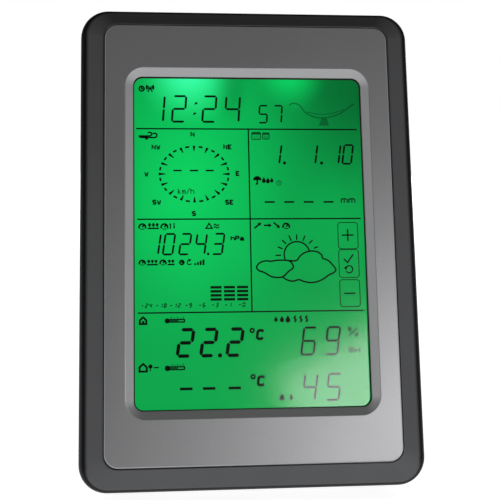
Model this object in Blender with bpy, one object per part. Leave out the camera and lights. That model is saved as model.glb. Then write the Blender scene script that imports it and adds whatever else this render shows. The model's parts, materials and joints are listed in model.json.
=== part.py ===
"""Home weather station console: a display case leaning back on a fold-out stand.

The front faces -Y and up is +Z. The origin is on the table, under the middle of the console.
The case is drawn upright, in millimetres: x runs to the right, y from the front plate backwards
and z up from the base of the case. The empty "console" then leans all of it back on its stand.
"""

import math

import bmesh
import bpy
from mathutils import Matrix, Vector

MM = 0.001
GAP = 0.3

# The case and how it stands
CASE_WIDTH = 148.0
CASE_HEIGHT = 211.2
CASE_DEPTH = 32.0
CASE_RADIUS = 12.0
MIDDLE = CASE_HEIGHT / 2
FACE_RISE = 0.8  # the plate and the display sit this much above the middle of the case
FACE_MIDDLE = MIDDLE + FACE_RISE
WALL = 2.0
PARTING = 17.0
LEAN = math.radians(18)
UNDER_CASE = 1.2
DEPTH_SHIFT = 48.64

# The rounded edges: how far in from the side, and how far along y, each quarter ellipse runs
FRONT_EDGE = (3.4, 8.6)
FRONT_EDGE_END = 11.8
FRONT_SLOPE = math.radians(20)
BACK_EDGE = (7.0, 10.0)
BACK_EDGE_START = CASE_DEPTH - BACK_EDGE[1]

# The silver plate, its chamfered bezel and the window
PLATE = (125.7, 191.5, 6.0)
PLATE_THICK = 1.6
PLATE_LIP = 0.4
BEZEL = (107.8, 152.3, 8.5)
WINDOW = (101.0, 145.4, 4.0)
WINDOW_DEPTH = 2.2
FUNNEL_BACK = 2.6
OPENING = (109.0, 153.5, 9.1)
FRONT_WALL = (1.9, 3.9)

# The display stack: where each layer starts and ends along y
GASKET_Y = (2.9, 3.5)
TOUCH_Y = (3.8, 4.9)
LCD_Y = (5.2, 7.4)
GUIDE_Y = (7.7, 10.2)
HOLDER_Y = (4.3, 12.2)
HOLDER_FLOOR = 10.6
HOLDER = (113.0, 158.0, 5.0)
HOLDER_INSIDE = (108.4, 152.8, 3.0)
LED_X = 24.0

# The board behind the display's upper half
BOARD_Y = (14.0, 15.6)
BOARD_X = 54.0
BOARD_Z = (150.0, 204.0)
BOARD_BACK = BOARD_Y[1] + GAP
BOARD_HOLES = ((-50.0, 154.0), (50.0, 154.0), (-50.0, 200.0), (50.0, 200.0))

# Screws: where each kind goes, as x and z
CASE_SCREWS = ((-62.5, 18.0), (62.5, 18.0), (-62.5, 194.0), (62.5, 194.0))
HOLDER_SCREWS = ((-60.2, 60.0), (60.2, 60.0), (-60.2, 152.0), (60.2, 152.0))

# Three AA cells lying across the case, and the bay that holds them
CELL_RADIUS = 7.15
CELL_LENGTH = 50.0
CELL_NUB = 1.2
CELL_Y = 22.2
BAY_Z = 111.0
CELL_PITCH = 15.2
BAY_HALF_X = 28.6
BAY_HALF_Z = 23.5
BAY_FLOOR = 14.6
BAY_WALL = 1.8
CONTACT_X = 27.9
CONTACT_THICK = 0.4

# The battery door, hinged on two pins at its bottom edge
DOOR_HINGE = (30.7, 85.6)
DOOR_THICK = 1.8
DOOR_HALF_X = 33.0
DOOR_TOP = 138.0
DOOR_PIN = 0.6
TONGUE_HALF_X = 7.0
TONGUE_TOP = 143.8

# The stand, hinged near the base of the back and standing straight out from it
STAND_HINGE = (27.5, 20.0)
STAND_THICK = 3.0
STAND_LENGTH = 56.3
STAND_HALF_X = 34.0
STAND_PIN = 1.2
STAND_PIN_X = 38.2
RECESS_FLOOR = 25.6
PAD_Y = (76.5, 82.5)
FOOT_Y = (18.0, 25.5)
FOOT_X = (42.0, 60.0)

# The wall hanger, the vents and the sounder's holes in the back
HANGER_Z = 180.0
HANGER_RADIUS = 4.8
HANGER_SLOT = (2.2, 190.0)
VENT_X = (-60.0, -46.0)
VENT_Z = 28.0
VENT_COUNT = 6
SOUNDER = (36.0, 174.0)

# Finishes: colour, roughness, metallic
BLACK_PLASTIC = ((0.030, 0.030, 0.032), 0.35, 0.0)
WHITE_PLASTIC = ((0.80, 0.80, 0.78), 0.55, 0.0)
SILVER_PAINT = ((0.30, 0.30, 0.31), 0.32, 0.45)
GLASS_FILM = ((0.55, 0.85, 0.65), 0.08, 0.0)
LCD_GREEN = ((0.02, 0.42, 0.12), 0.20, 0.0)
DIFFUSER = ((0.75, 0.90, 0.78), 0.30, 0.0)
LED_BODY = ((0.35, 0.90, 0.45), 0.20, 0.0)
FOAM_BLACK = ((0.015, 0.015, 0.016), 0.90, 0.0)
RUBBER_BLACK = ((0.020, 0.020, 0.021), 0.85, 0.0)
BOARD_GREEN = ((0.02, 0.18, 0.07), 0.45, 0.0)
CHIP_BLACK = ((0.020, 0.020, 0.022), 0.50, 0.0)
STEEL = ((0.60, 0.60, 0.62), 0.28, 1.0)
COPPER = ((0.72, 0.38, 0.22), 0.30, 1.0)
POLYIMIDE = ((0.55, 0.26, 0.05), 0.40, 0.0)
CELL_WRAP = ((0.10, 0.11, 0.14), 0.30, 0.2)
LEAD_RED = ((0.50, 0.02, 0.02), 0.45, 0.0)
LEAD_BLACK = ((0.02, 0.02, 0.02), 0.45, 0.0)
LEAD_WHITE = ((0.70, 0.70, 0.68), 0.45, 0.0)


# ---------------------------------------------------------------- building blocks


def rounded_outline(width, height, radius, steps=5):
    """The (x, z) points of a rounded rectangle about the origin, anticlockwise."""
    points = []
    for quarter in range(4):
        side_x = 1 if quarter in (0, 3) else -1
        side_z = 1 if quarter in (0, 1) else -1
        for step in range(steps + 1):
            angle = math.radians(90 * (quarter + step / steps))
            x = side_x * (width / 2 - radius) + radius * math.cos(angle)
            z = side_z * (height / 2 - radius) + radius * math.sin(angle)
            points.append((x, z))
    return points


def skin(rings):
    """A closed bmesh through rings of points, each ring with as many points as the next."""
    shape = bmesh.new()
    loops = [[shape.verts.new(point) for point in ring] for ring in rings]
    for first, second in zip(loops, loops[1:]):
        for here in range(len(first)):
            after = (here + 1) % len(first)
            shape.faces.new((first[here], first[after], second[after], second[here]))
    shape.faces.new(loops[0])
    shape.faces.new(loops[-1])
    return shape


def loft(sections):
    """Rounded rectangles (y, width, height, radius), joined one behind the other."""
    rings = []
    for y, width, height, radius in sections:
        rings.append([(x, y, z) for x, z in rounded_outline(width, height, radius)])
    return skin(rings)


def slab(outline, span):
    """A rounded rectangle (width, height, radius) of the same outline over a span of y."""
    return loft([(y, *outline) for y in span])


def turned(profile, axis="Y", sides=24):
    """A turned shape from (place along the axis, radius) pairs."""
    rings = []
    for along, radius in profile:
        ring = []
        for side in range(sides):
            angle = 2 * math.pi * side / sides
            u = radius * math.cos(angle)
            v = radius * math.sin(angle)
            ring.append({"X": (along, u, v), "Y": (u, along, v), "Z": (u, v, along)}[axis])
        rings.append(ring)
    return skin(rings)


def prism(outline, low_x, high_x):
    """A (y, z) outline drawn out along x."""
    return skin([[(x, y, z) for y, z in outline] for x in (low_x, high_x)])


def boxes(*corners):
    """One or more separate boxes, each from its lowest and highest corners."""
    shape = bmesh.new()
    for low, high in corners:
        middle = (Vector(low) + Vector(high)) / 2
        size = Vector(high) - Vector(low)
        place = Matrix.Translation(middle) @ Matrix.Diagonal(size).to_4x4()
        bmesh.ops.create_cube(shape, size=1.0, matrix=place)
    return shape


def pegs(places, radius, span, sides=14):
    """Separate round pegs along y, one at each (x, z)."""
    shape = bmesh.new()
    upright = Matrix.Rotation(math.radians(90), 4, "X")
    for x, z in places:
        place = Matrix.Translation((x, (span[0] + span[1]) / 2, z)) @ upright
        bmesh.ops.create_cone(
            shape,
            cap_ends=True,
            segments=sides,
            radius1=radius,
            radius2=radius,
            depth=span[1] - span[0],
            matrix=place,
        )
    return shape


def give_material(thing, colour, roughness, metallic):
    material = bpy.data.materials.new(thing.name)
    material.use_nodes = True
    shader = material.node_tree.nodes["Principled BSDF"]
    shader.inputs["Base Color"].default_value = (*colour, 1.0)
    shader.inputs["Roughness"].default_value = roughness
    shader.inputs["Metallic"].default_value = metallic
    thing.data.materials.append(material)


def place_in_scene(thing, at, parent):
    bpy.context.scene.collection.objects.link(thing)
    thing.parent = bpy.data.objects[parent]
    thing.location = Vector(at) * MM


def solid(name, shape, finish, at=(0, 0, 0), parent="console"):
    """Makes an object of a bmesh that is drawn in millimetres."""
    bmesh.ops.recalc_face_normals(shape, faces=shape.faces)
    bmesh.ops.scale(shape, vec=(MM, MM, MM), verts=shape.verts)
    mesh = bpy.data.meshes.new(name)
    shape.to_mesh(mesh)
    shape.free()
    mesh.shade_smooth()
    mesh.set_sharp_from_angle(angle=math.radians(32))
    thing = bpy.data.objects.new(name, mesh)
    place_in_scene(thing, at, parent)
    if finish:
        give_material(thing, *finish)
    return thing


def combine(target, name, operation, shape, at=(0, 0, 0)):
    """Adds or cuts away a helper shape, which stays in the file as a hidden wire object."""
    helper = solid(f"{target.name}.{name}", shape, None, at, target.parent.name)
    helper.hide_render = True
    helper.display_type = "WIRE"
    modifier = target.modifiers.new(name, "BOOLEAN")
    modifier.operation = operation
    modifier.object = helper


def add(target, name, shape, at=(0, 0, 0)):
    combine(target, name, "UNION", shape, at)


def cut(target, name, shape, at=(0, 0, 0)):
    combine(target, name, "DIFFERENCE", shape, at)


def tube(name, points, radius, finish, roundness=0):
    """A wire along points in millimetres, with closed ends."""
    curve = bpy.data.curves.new(name, "CURVE")
    curve.dimensions = "3D"
    curve.bevel_depth = radius * MM
    curve.bevel_resolution = roundness
    curve.use_fill_caps = True
    spline = curve.splines.new("POLY")
    spline.points.add(len(points) - 1)
    for spot, point in zip(spline.points, points):
        spot.co = (*(Vector(point) * MM), 1.0)
    thing = bpy.data.objects.new(name, curve)
    place_in_scene(thing, (0, 0, 0), "console")
    give_material(thing, *finish)
    return thing


def smooth_route(route, steps=4):
    """Points on the Catmull-Rom curve through the route's own points."""
    ends = [Vector(point) for point in (route[0], *route, route[-1])]
    points = []
    for a, b, c, d in zip(ends, ends[1:], ends[2:], ends[3:]):
        for step in range(steps):
            t = step / steps
            points.append(
                b
                + (c - a) * (t / 2)
                + (a * 2 - b * 5 + c * 4 - d) * (t * t / 2)
                + (b * 3 - a - c * 3 + d) * (t * t * t / 2)
            )
    points.append(ends[-1])
    return points


def round_end(centre, radius, first_angle, steps=8):
    """(y, z) points round half a circle, clockwise from first_angle in degrees."""
    points = []
    for step in range(steps + 1):
        angle = math.radians(first_angle - 180 * step / steps)
        points.append((centre[0] + radius * math.cos(angle), centre[1] + radius * math.sin(angle)))
    return points


# ---------------------------------------------------------------- frames of reference


def lift_of_console():
    """How far the base of the case rises so that its leaning back edge clears the table."""
    inward, along = BACK_EDGE
    sine = math.sin(LEAN)
    cosine = math.cos(LEAN)
    reach = math.hypot(along * sine, inward * cosine)
    return UNDER_CASE + BACK_EDGE_START * sine - inward * cosine + reach


def table_under(y):
    """The height of the table under the upright case's point y, in the case's own frame."""
    return y * math.tan(LEAN) - lift_of_console() / math.cos(LEAN)


def empty(name, at, turn, parent=None):
    frame = bpy.data.objects.new(name, None)
    bpy.context.scene.collection.objects.link(frame)
    frame.location = Vector(at) * MM
    frame.rotation_euler = (turn, 0, 0)
    if parent:
        frame.parent = bpy.data.objects[parent]


def make_frames():
    empty("console", (0, -DEPTH_SHIFT, lift_of_console()), -LEAN)
    empty("stand_hinge", (0, *STAND_HINGE), math.radians(-90), "console")
    empty("door_hinge", (0, *DOOR_HINGE), 0, "console")


# ---------------------------------------------------------------- the case


def front_sections():
    """The frame's outside: a shallow slope from the plate, then a rounded edge to the side."""
    edge_x, edge_y = FRONT_EDGE
    start = math.atan(math.tan(FRONT_SLOPE) * edge_x / edge_y)
    land = (PLATE[0] + 2 * GAP + 1.0, PLATE[1] + 2 * GAP + 1.0)
    widest = (CASE_WIDTH - land[0]) / 2
    narrower = (CASE_HEIGHT - land[1]) / 2 / widest
    insets = []
    for step in range(6):
        angle = start + (math.pi / 2 - start) * step / 5
        insets.append((edge_x * (1 - math.sin(angle)), FRONT_EDGE_END - edge_y * math.cos(angle)))
    slope_y = insets[0][1] - (widest - insets[0][0]) * math.tan(FRONT_SLOPE)
    profile = [(widest, slope_y), *insets, (0.0, PARTING)]
    return [
        (y, CASE_WIDTH - 2 * inset, CASE_HEIGHT - 2 * inset * narrower, CASE_RADIUS - 0.55 * inset)
        for inset, y in profile
    ]


def case_sections(profile):
    return [
        (y, CASE_WIDTH - 2 * inset, CASE_HEIGHT - 2 * inset, CASE_RADIUS - 0.7 * inset)
        for inset, y in profile
    ]


def make_front_frame():
    frame = solid("front_frame", loft(front_sections()), BLACK_PLASTIC, (0, 0, MIDDLE))
    deep = 6.2
    profile = []
    for step in range(5):
        angle = math.pi / 2 * step / 4
        inset = WALL + deep * (1 - math.sin(angle))
        profile.append((inset, 12.0 - (12.0 - FRONT_WALL[1]) * math.cos(angle)))
    profile.append((WALL, PARTING + 1))
    cut(frame, "hollow", loft(case_sections(profile)), (0, 0, MIDDLE))
    seat = (PLATE[0] + 2 * GAP, PLATE[1] + 2 * GAP, PLATE[2] + GAP)
    cut(frame, "plate_seat", slab(seat, (-2.0, FRONT_WALL[0])), (0, 0, FACE_MIDDLE))
    cut(frame, "display_opening", slab(OPENING, (0.0, FRONT_WALL[1] + 1)), (0, 0, FACE_MIDDLE))
    add(frame, "case_bosses", pegs(CASE_SCREWS, 3.7, (3.5, PARTING - GAP)))
    add(frame, "holder_posts", pegs(HOLDER_SCREWS, 3.2, (3.5, 9.7)))
    add(frame, "board_posts", pegs(BOARD_HOLES[2:], 2.6, (3.5, BOARD_Y[0] - GAP)))
    cut(frame, "case_holes", pegs(CASE_SCREWS, 1.6, (8.0, PARTING + 1)))
    cut(frame, "holder_holes", pegs(HOLDER_SCREWS, 1.3, (5.4, 11.0)))
    cut(frame, "board_holes", pegs(BOARD_HOLES[2:], 1.3, (9.0, 15.0)))


def make_front_plate():
    edge = (PLATE[0] - 2 * PLATE_LIP, PLATE[1] - 2 * PLATE_LIP, PLATE[2] - PLATE_LIP)
    body = loft([(0.0, *edge), (PLATE_LIP, *PLATE), (PLATE_THICK, *PLATE)])
    plate = solid("front_plate", body, SILVER_PAINT, (0, 0, FACE_MIDDLE))
    funnel = (OPENING[0] - 2 * GAP, OPENING[1] - 2 * GAP, OPENING[2] - GAP)
    add(plate, "funnel", slab(funnel, (0.8, FUNNEL_BACK)), (0, 0, FACE_MIDDLE))
    per_depth = ((BEZEL[0] - WINDOW[0]) / WINDOW_DEPTH, (BEZEL[1] - WINDOW[1]) / WINDOW_DEPTH)
    mouth = (BEZEL[0] + per_depth[0], BEZEL[1] + per_depth[1], BEZEL[2] + 2.0)
    chamfer = loft([(-1.0, *mouth), (WINDOW_DEPTH, *WINDOW), (FUNNEL_BACK + 1, *WINDOW)])
    cut(plate, "window", chamfer, (0, 0, FACE_MIDDLE))


def back_profile(inward, along, inset, end):
    """(inset, y) round a back edge, from the side to the back."""
    points = []
    for step in range(6):
        angle = math.pi / 2 * step / 5
        points.append((inset + inward * (1 - math.cos(angle)), end - along * (1 - math.sin(angle))))
    return points


def make_rear_cover():
    outside = [(0.0, PARTING + GAP), *back_profile(*BACK_EDGE, 0.0, CASE_DEPTH)]
    cover = solid("rear_cover", loft(case_sections(outside)), BLACK_PLASTIC, (0, 0, MIDDLE))
    inside = [(WALL, PARTING - 1), *back_profile(6.0, 8.0, WALL, CASE_DEPTH - WALL)]
    cut(cover, "hollow", loft(case_sections(inside)), (0, 0, MIDDLE))
    add(cover, "case_bosses", pegs(CASE_SCREWS, 3.7, (PARTING + 2 * GAP, 30.5)))
    cut(cover, "case_holes", pegs(CASE_SCREWS, 1.6, (PARTING - 1, CASE_DEPTH + 1)))
    cut(cover, "screw_wells", pegs(CASE_SCREWS, 3.2, (27.0, CASE_DEPTH + 1)))
    cut_stand_recess(cover)
    cut_battery_bay(cover)
    cut(cover, "hanger_hole", pegs([(0, HANGER_Z)], HANGER_RADIUS, (28.0, 34.0), sides=24))
    half, top = HANGER_SLOT
    slot = boxes(((-half, 28.0, HANGER_Z), (half, 34.0, top - half)))
    cut(cover, "hanger_slot", slot)
    cut(cover, "hanger_slot_end", pegs([(0, top - half)], half, (28.0, 34.0)))
    vents = []
    for index in range(VENT_COUNT):
        low = VENT_Z + 3.0 * index
        vents.append(((VENT_X[0], 28.0, low), (VENT_X[1], 34.0, low + 1.5)))
    cut(cover, "vents", boxes(*vents))
    holes = [SOUNDER]
    for index in range(6):
        angle = math.radians(60 * index)
        holes.append((SOUNDER[0] + 5 * math.cos(angle), SOUNDER[1] + 5 * math.sin(angle)))
    cut(cover, "sounder_holes", pegs(holes, 0.9, (28.0, 34.0), sides=10))


def cut_stand_recess(cover):
    """The recess that the stand folds into. Its lower wall is the stop for the open stand."""
    low = STAND_HINGE[1] - STAND_THICK / 2 - 0.4
    high = STAND_HINGE[1] + STAND_LENGTH + 1.2
    half = STAND_HALF_X + 0.6
    add(cover, "recess_wall", boxes(((-half - 6, 24.0, low - 3.6), (half + 6, 30.5, high + 3))))
    cut(cover, "recess", boxes(((-half, RECESS_FLOOR, low), (half, 34.0, high))))
    reach = STAND_PIN_X + GAP
    bore = turned([(-reach, STAND_PIN + GAP), (reach, STAND_PIN + GAP)], "X", 20)
    cut(cover, "stand_bores", bore, (0, *STAND_HINGE))
    grip = boxes(((-9.0, RECESS_FLOOR + 0.8, high - 4), (9.0, 34.0, high + 2.2)))
    cut(cover, "finger_notch", grip)


def cut_battery_bay(cover):
    """The cell bay, the ledge round it for the door, and the notch for the door's latch."""
    outer_x = BAY_HALF_X + BAY_WALL
    outer_z = BAY_HALF_Z + BAY_WALL
    box = boxes(
        ((-outer_x, BAY_FLOOR - 1.6, BAY_Z - outer_z), (outer_x, 30.5, BAY_Z + outer_z))
    )
    add(cover, "bay_walls", box)
    add(cover, "bay_ledge", boxes(((-36.0, 27.6, 82.5), (36.0, 30.6, 146.0))))
    pocket = boxes(
        ((-BAY_HALF_X, BAY_FLOOR, BAY_Z - BAY_HALF_Z), (BAY_HALF_X, 34.0, BAY_Z + BAY_HALF_Z))
    )
    cut(cover, "bay", pocket)
    seat = DOOR_HINGE[0] - DOOR_THICK / 2 - GAP
    edge = DOOR_HALF_X + 0.4
    foot = DOOR_HINGE[1] - DOOR_THICK / 2 - GAP
    cut(cover, "door_seat", boxes(((-edge, seat, foot), (edge, 34.0, DOOR_TOP + 0.4))))
    latch = TONGUE_HALF_X + 0.5
    notch = boxes(((-latch, seat, DOOR_TOP - 1), (latch, 34.0, TONGUE_TOP + 0.5)))
    cut(cover, "latch_notch", notch)
    reach = DOOR_HALF_X + 2.2
    bore = turned([(-reach, DOOR_PIN + GAP), (reach, DOOR_PIN + GAP)], "X", 16)
    cut(cover, "door_bores", bore, (0, *DOOR_HINGE))
    for side, cell in ((-1, 1), (1, -1)):
        inner = side * (BAY_HALF_X - 1)
        outer = side * (outer_x + 1)
        hole = turned([(inner, 1.0), (outer, 1.0)], "X", 12)
        cut(cover, f"lead_hole_{cell + 2}", hole, (0, CELL_Y - 2, BAY_Z + cell * CELL_PITCH))


def make_battery_door():
    """A flat lid with a rounded hinge edge, two pins and a spring tongue at its top."""
    half = DOOR_THICK / 2
    rise = DOOR_TOP - DOOR_HINGE[1]
    outline = [(half, rise), *round_end((0, 0), half, 0), (-half, rise)]
    body = prism(outline, -DOOR_HALF_X, DOOR_HALF_X)
    door = solid("battery_door", body, BLACK_PLASTIC, parent="door_hinge")
    reach = DOOR_HALF_X + 1.9
    add(door, "pins", turned([(-reach, DOOR_PIN), (reach, DOOR_PIN)], "X", 16))
    tongue = boxes(
        (
            (-TONGUE_HALF_X, -half + 0.2, rise - 4),
            (TONGUE_HALF_X, half - 0.2, TONGUE_TOP - DOOR_HINGE[1]),
        )
    )
    add(door, "tongue", tongue)
    for side in (-1, 1):
        slit = boxes(
            (
                (side * (TONGUE_HALF_X + 0.7) - 0.5, -2.0, rise - 9),
                (side * (TONGUE_HALF_X + 0.7) + 0.5, 2.0, rise + 1),
            )
        )
        cut(door, f"slit_{side + 2}", slit)


def make_stand():
    """A plate with a round hinge edge, moulded pins and a finger window."""
    half = STAND_THICK / 2
    outline = [
        (half, STAND_LENGTH - 0.8),
        *round_end((0, 0), half, 0),
        (-half, STAND_LENGTH - 0.8),
        (-half + 0.8, STAND_LENGTH),
        (half - 0.8, STAND_LENGTH),
    ]
    body = prism(outline, -STAND_HALF_X, STAND_HALF_X)
    stand = solid("stand", body, BLACK_PLASTIC, parent="stand_hinge")
    tall = 2 * STAND_LENGTH
    combine(
        stand, "rounded_corners", "INTERSECT", slab((2 * STAND_HALF_X, tall, 10.0), (-3.0, 3.0))
    )
    cut(stand, "window", slab((36.0, 20.0, 6.0), (-3.0, 3.0)), (0, 0, 28.0))
    pins = turned([(-STAND_PIN_X, STAND_PIN), (STAND_PIN_X, STAND_PIN)], "X", 20)
    add(stand, "pins", pins)


def wedge(span, top):
    """The (y, z) outline of a rubber pad that lies flat on the table, in the case's own frame."""
    return [
        (span[0], top),
        (span[0], table_under(span[0])),
        (span[1], table_under(span[1])),
        (span[1], top),
    ]


def make_pads():
    top = STAND_HINGE[1] - STAND_THICK / 2 - GAP
    turned_outline = [(STAND_HINGE[1] - z, y - STAND_HINGE[0]) for y, z in wedge(PAD_Y, top)]
    pad = prism(turned_outline, -22.0, 22.0)
    solid("stand_pad", pad, RUBBER_BLACK, parent="stand_hinge")
    for name, side in (("foot_left", -1), ("foot_right", 1)):
        low_x, high_x = sorted((side * FOOT_X[0], side * FOOT_X[1]))
        solid(name, prism(wedge(FOOT_Y, -GAP), low_x, high_x), RUBBER_BLACK)


def make_screws(prefix, places, head, shaft):
    """Screws driven from the back: head and shaft are (radius, y where it starts, y end)."""
    for index, (x, z) in enumerate(places, start=1):
        head_r, head_low, head_high = head
        shaft_r, tip = shaft
        profile = [
            (tip, shaft_r * 0.5),
            (tip + shaft_r, shaft_r),
            (head_low, shaft_r),
            (head_low, head_r),
            (head_high - 0.6, head_r),
            (head_high, head_r * 0.6),
        ]
        solid(f"{prefix}_{index}", turned(profile, "Y", 12), STEEL, (x, 0, z))


# ---------------------------------------------------------------- the display


def make_display():
    ring = solid("window_gasket", slab((107.6, 152.0, 8.4), GASKET_Y), FOAM_BLACK, (0, 0, FACE_MIDDLE))
    hole = (WINDOW[0] - 0.8, WINDOW[1] - 0.8, WINDOW[2] - 0.4)
    cut(ring, "hole", slab(hole, (GASKET_Y[0] - 1, GASKET_Y[1] + 1)), (0, 0, FACE_MIDDLE))
    solid("touch_panel", slab((107.6, 152.0, 8.4), TOUCH_Y), GLASS_FILM, (0, 0, FACE_MIDDLE))
    solid("lcd_panel", slab((107.0, 151.4, 1.5), LCD_Y), LCD_GREEN, (0, 0, FACE_MIDDLE))
    solid("light_guide", slab((106.0, 148.0, 1.5), GUIDE_Y), DIFFUSER, (0, 0, FACE_MIDDLE - 1.5))
    for name, x in (("backlight_led_left", -LED_X), ("backlight_led_right", LED_X)):
        solid(name, boxes(((-2.2, 7.9, 179.3), (2.2, 10.0, 182.3))), LED_BODY, (x, 0, 0))


def make_lcd_holder():
    holder = solid("lcd_holder", slab(HOLDER, HOLDER_Y), WHITE_PLASTIC, (0, 0, FACE_MIDDLE))
    cut(holder, "hollow", slab(HOLDER_INSIDE, (3.0, HOLDER_FLOOR)), (0, 0, FACE_MIDDLE))
    add(holder, "ears", pegs(HOLDER_SCREWS, 4.8, (10.0, HOLDER_Y[1] - 0.2)))
    cut(holder, "ear_holes", pegs(HOLDER_SCREWS, 1.3, (9.0, 13.0)))
    add(holder, "board_posts", pegs(BOARD_HOLES[:2], 2.6, (11.4, BOARD_Y[0] - GAP)))
    cut(holder, "board_holes", pegs(BOARD_HOLES[:2], 1.3, (HOLDER_FLOOR - 1, 15.0)))
    top = FACE_MIDDLE + HOLDER[1] / 2
    notches = boxes(
        ((-41.0, 3.0, top - 5), (-9.0, 8.6, top + 1)), ((16.0, 3.0, top - 5), (24.0, 8.6, top + 1))
    )
    cut(holder, "ribbon_notches", notches)


def make_ribbon(name, low_x, high_x, start_y):
    """A flat ribbon from the top edge of a display layer to the front of the board."""
    thick = 0.25
    end_y = BOARD_Y[0] - GAP - thick
    low = FACE_MIDDLE + HOLDER_INSIDE[1] / 2
    front = [(start_y, low), (start_y, 187.5), (end_y, 193.0), (end_y, 201.0)]
    back = [(y + thick, z - (1.0 if z == 187.5 else 0.0)) for y, z in reversed(front)]
    outline = front + [(y, z - 0.3 if z == 193.0 else z) for y, z in back]
    solid(name, prism(outline, low_x, high_x), POLYIMIDE)


# ---------------------------------------------------------------- the electronics


def make_board():
    tall = BOARD_Z[1] - BOARD_Z[0]
    outline = (2 * BOARD_X, tall, 2.0)
    middle = (BOARD_Z[0] + BOARD_Z[1]) / 2
    board = solid("main_board", slab(outline, BOARD_Y), BOARD_GREEN, (0, 0, middle))
    cut(board, "holes", pegs(BOARD_HOLES, 1.4, (BOARD_Y[0] - 1, BOARD_Y[1] + 1)))


def chip(name, x, z, width, height, thick, finish):
    """A small flat part on the back of the board."""
    body = slab((width, height, min(width, height) * 0.08), (0.0, thick))
    return solid(name, body, finish, (x, BOARD_BACK, z))


def make_board_parts():
    chip("processor_chip", -12.0, 180.0, 14.0, 14.0, 1.5, CHIP_BLACK)
    chip("memory_chip", 9.0, 192.0, 5.0, 4.0, 1.4, CHIP_BLACK)
    can = turned([(0, 3.2), (2.2, 3.2), (2.6, 2.6), (2.6, 1.0)], "Y", 20)
    solid("pressure_sensor", can, STEEL, (22.0, BOARD_BACK, 162.0))
    crystal = turned([(-3.0, 0.9), (-2.8, 1.1), (2.8, 1.1), (3.0, 0.9)], "Z", 14)
    solid("quartz_crystal", crystal, STEEL, (-30.0, BOARD_BACK + 1.1, 176.0))
    receiver = chip("receiver_module", 32.0, 192.0, 20.0, 12.0, 1.0, BOARD_GREEN)
    shield = slab((14.0, 9.0, 1.0), (0.6, 3.0))
    add(receiver, "shield", shield, (32.0, BOARD_BACK, 192.0))


def helix(centre, radius, axis_span, turns, steps=8):
    """Points of a coil; radius is (first, last) and axis_span is along the chosen axis."""
    points = []
    total = turns * steps
    for step in range(total + 1):
        share = step / total
        angle = 2 * math.pi * turns * share
        reach = radius[0] + (radius[1] - radius[0]) * share
        along = axis_span[0] + (axis_span[1] - axis_span[0]) * share
        points.append((along, reach * math.cos(angle), reach * math.sin(angle)))
    return [(along, centre[0] + u, centre[1] + v) for along, u, v in points]


def make_antenna():
    coil = helix((44.0, 20.0), (2.6, 2.6), (160.0, 182.0), 7)
    tube("antenna_coil", [(x, y, along) for along, x, y in coil], 0.4, COPPER)


def make_sounder():
    disc = turned([(0.0, 11.5), (2.2, 11.5), (2.2, 8.0), (3.0, 7.0)], "Y", 20)
    solid("sounder", disc, BLACK_PLASTIC, (SOUNDER[0], 26.6, SOUNDER[1]))


def make_air_sensor():
    body = slab((12.0, 15.0, 1.0), (24.4, 29.4))
    sensor = solid("air_sensor", body, WHITE_PLASTIC, (-53.0, 0, 36.0))
    for index in range(3):
        low = -4.0 + 3.0 * index
        slot = boxes(((-4.0, 28.6, low), (4.0, 30.0, low + 1.4)))
        cut(sensor, f"slot_{index + 1}", slot, (-53.0, 0, 36.0))


# ---------------------------------------------------------------- the batteries


def make_cells():
    """Cells alternate end for end; each lies against the contact at its positive end."""
    for index, sign in enumerate((1, -1, 1)):
        z = BAY_Z + CELL_PITCH * (1 - index)
        tip = sign * (CONTACT_X - GAP)
        back = tip - sign * CELL_LENGTH
        shoulder = tip - sign * CELL_NUB
        profile = [
            (back, CELL_RADIUS - 0.6),
            (back + sign * 0.6, CELL_RADIUS),
            (shoulder - sign * 0.6, CELL_RADIUS),
            (shoulder, CELL_RADIUS - 0.6),
            (shoulder, 2.7),
            (tip, 2.6),
        ]
        solid(f"battery_{index + 1}", turned(profile, "X", 20), CELL_WRAP, (0, CELL_Y, z))
        start = -sign * (CONTACT_X - GAP - 0.4)
        end = back - sign * (GAP + 0.4)
        coil = helix((CELL_Y, z), (4.6, 2.6), (start, end), 3)
        tube(f"battery_spring_{index + 1}", coil, 0.4, STEEL)


def contact(name, side, low_cell, high_cell):
    """A sprung steel plate at one end of the bay, over one cell or across two."""
    inner = side * CONTACT_X
    outer = side * (CONTACT_X + CONTACT_THICK)
    low = BAY_Z + CELL_PITCH * low_cell - 5.2
    high = BAY_Z + CELL_PITCH * high_cell + 5.2
    corners = (
        (min(inner, outer), CELL_Y - 5.2, low),
        (max(inner, outer), CELL_Y + 5.2, high),
    )
    solid(name, boxes(corners), STEEL)


def make_contacts():
    contact("contact_negative", -1, 1, 1)
    contact("contact_link_right", 1, 0, 1)
    contact("contact_link_left", -1, -1, 0)
    contact("contact_positive", 1, -1, -1)


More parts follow.
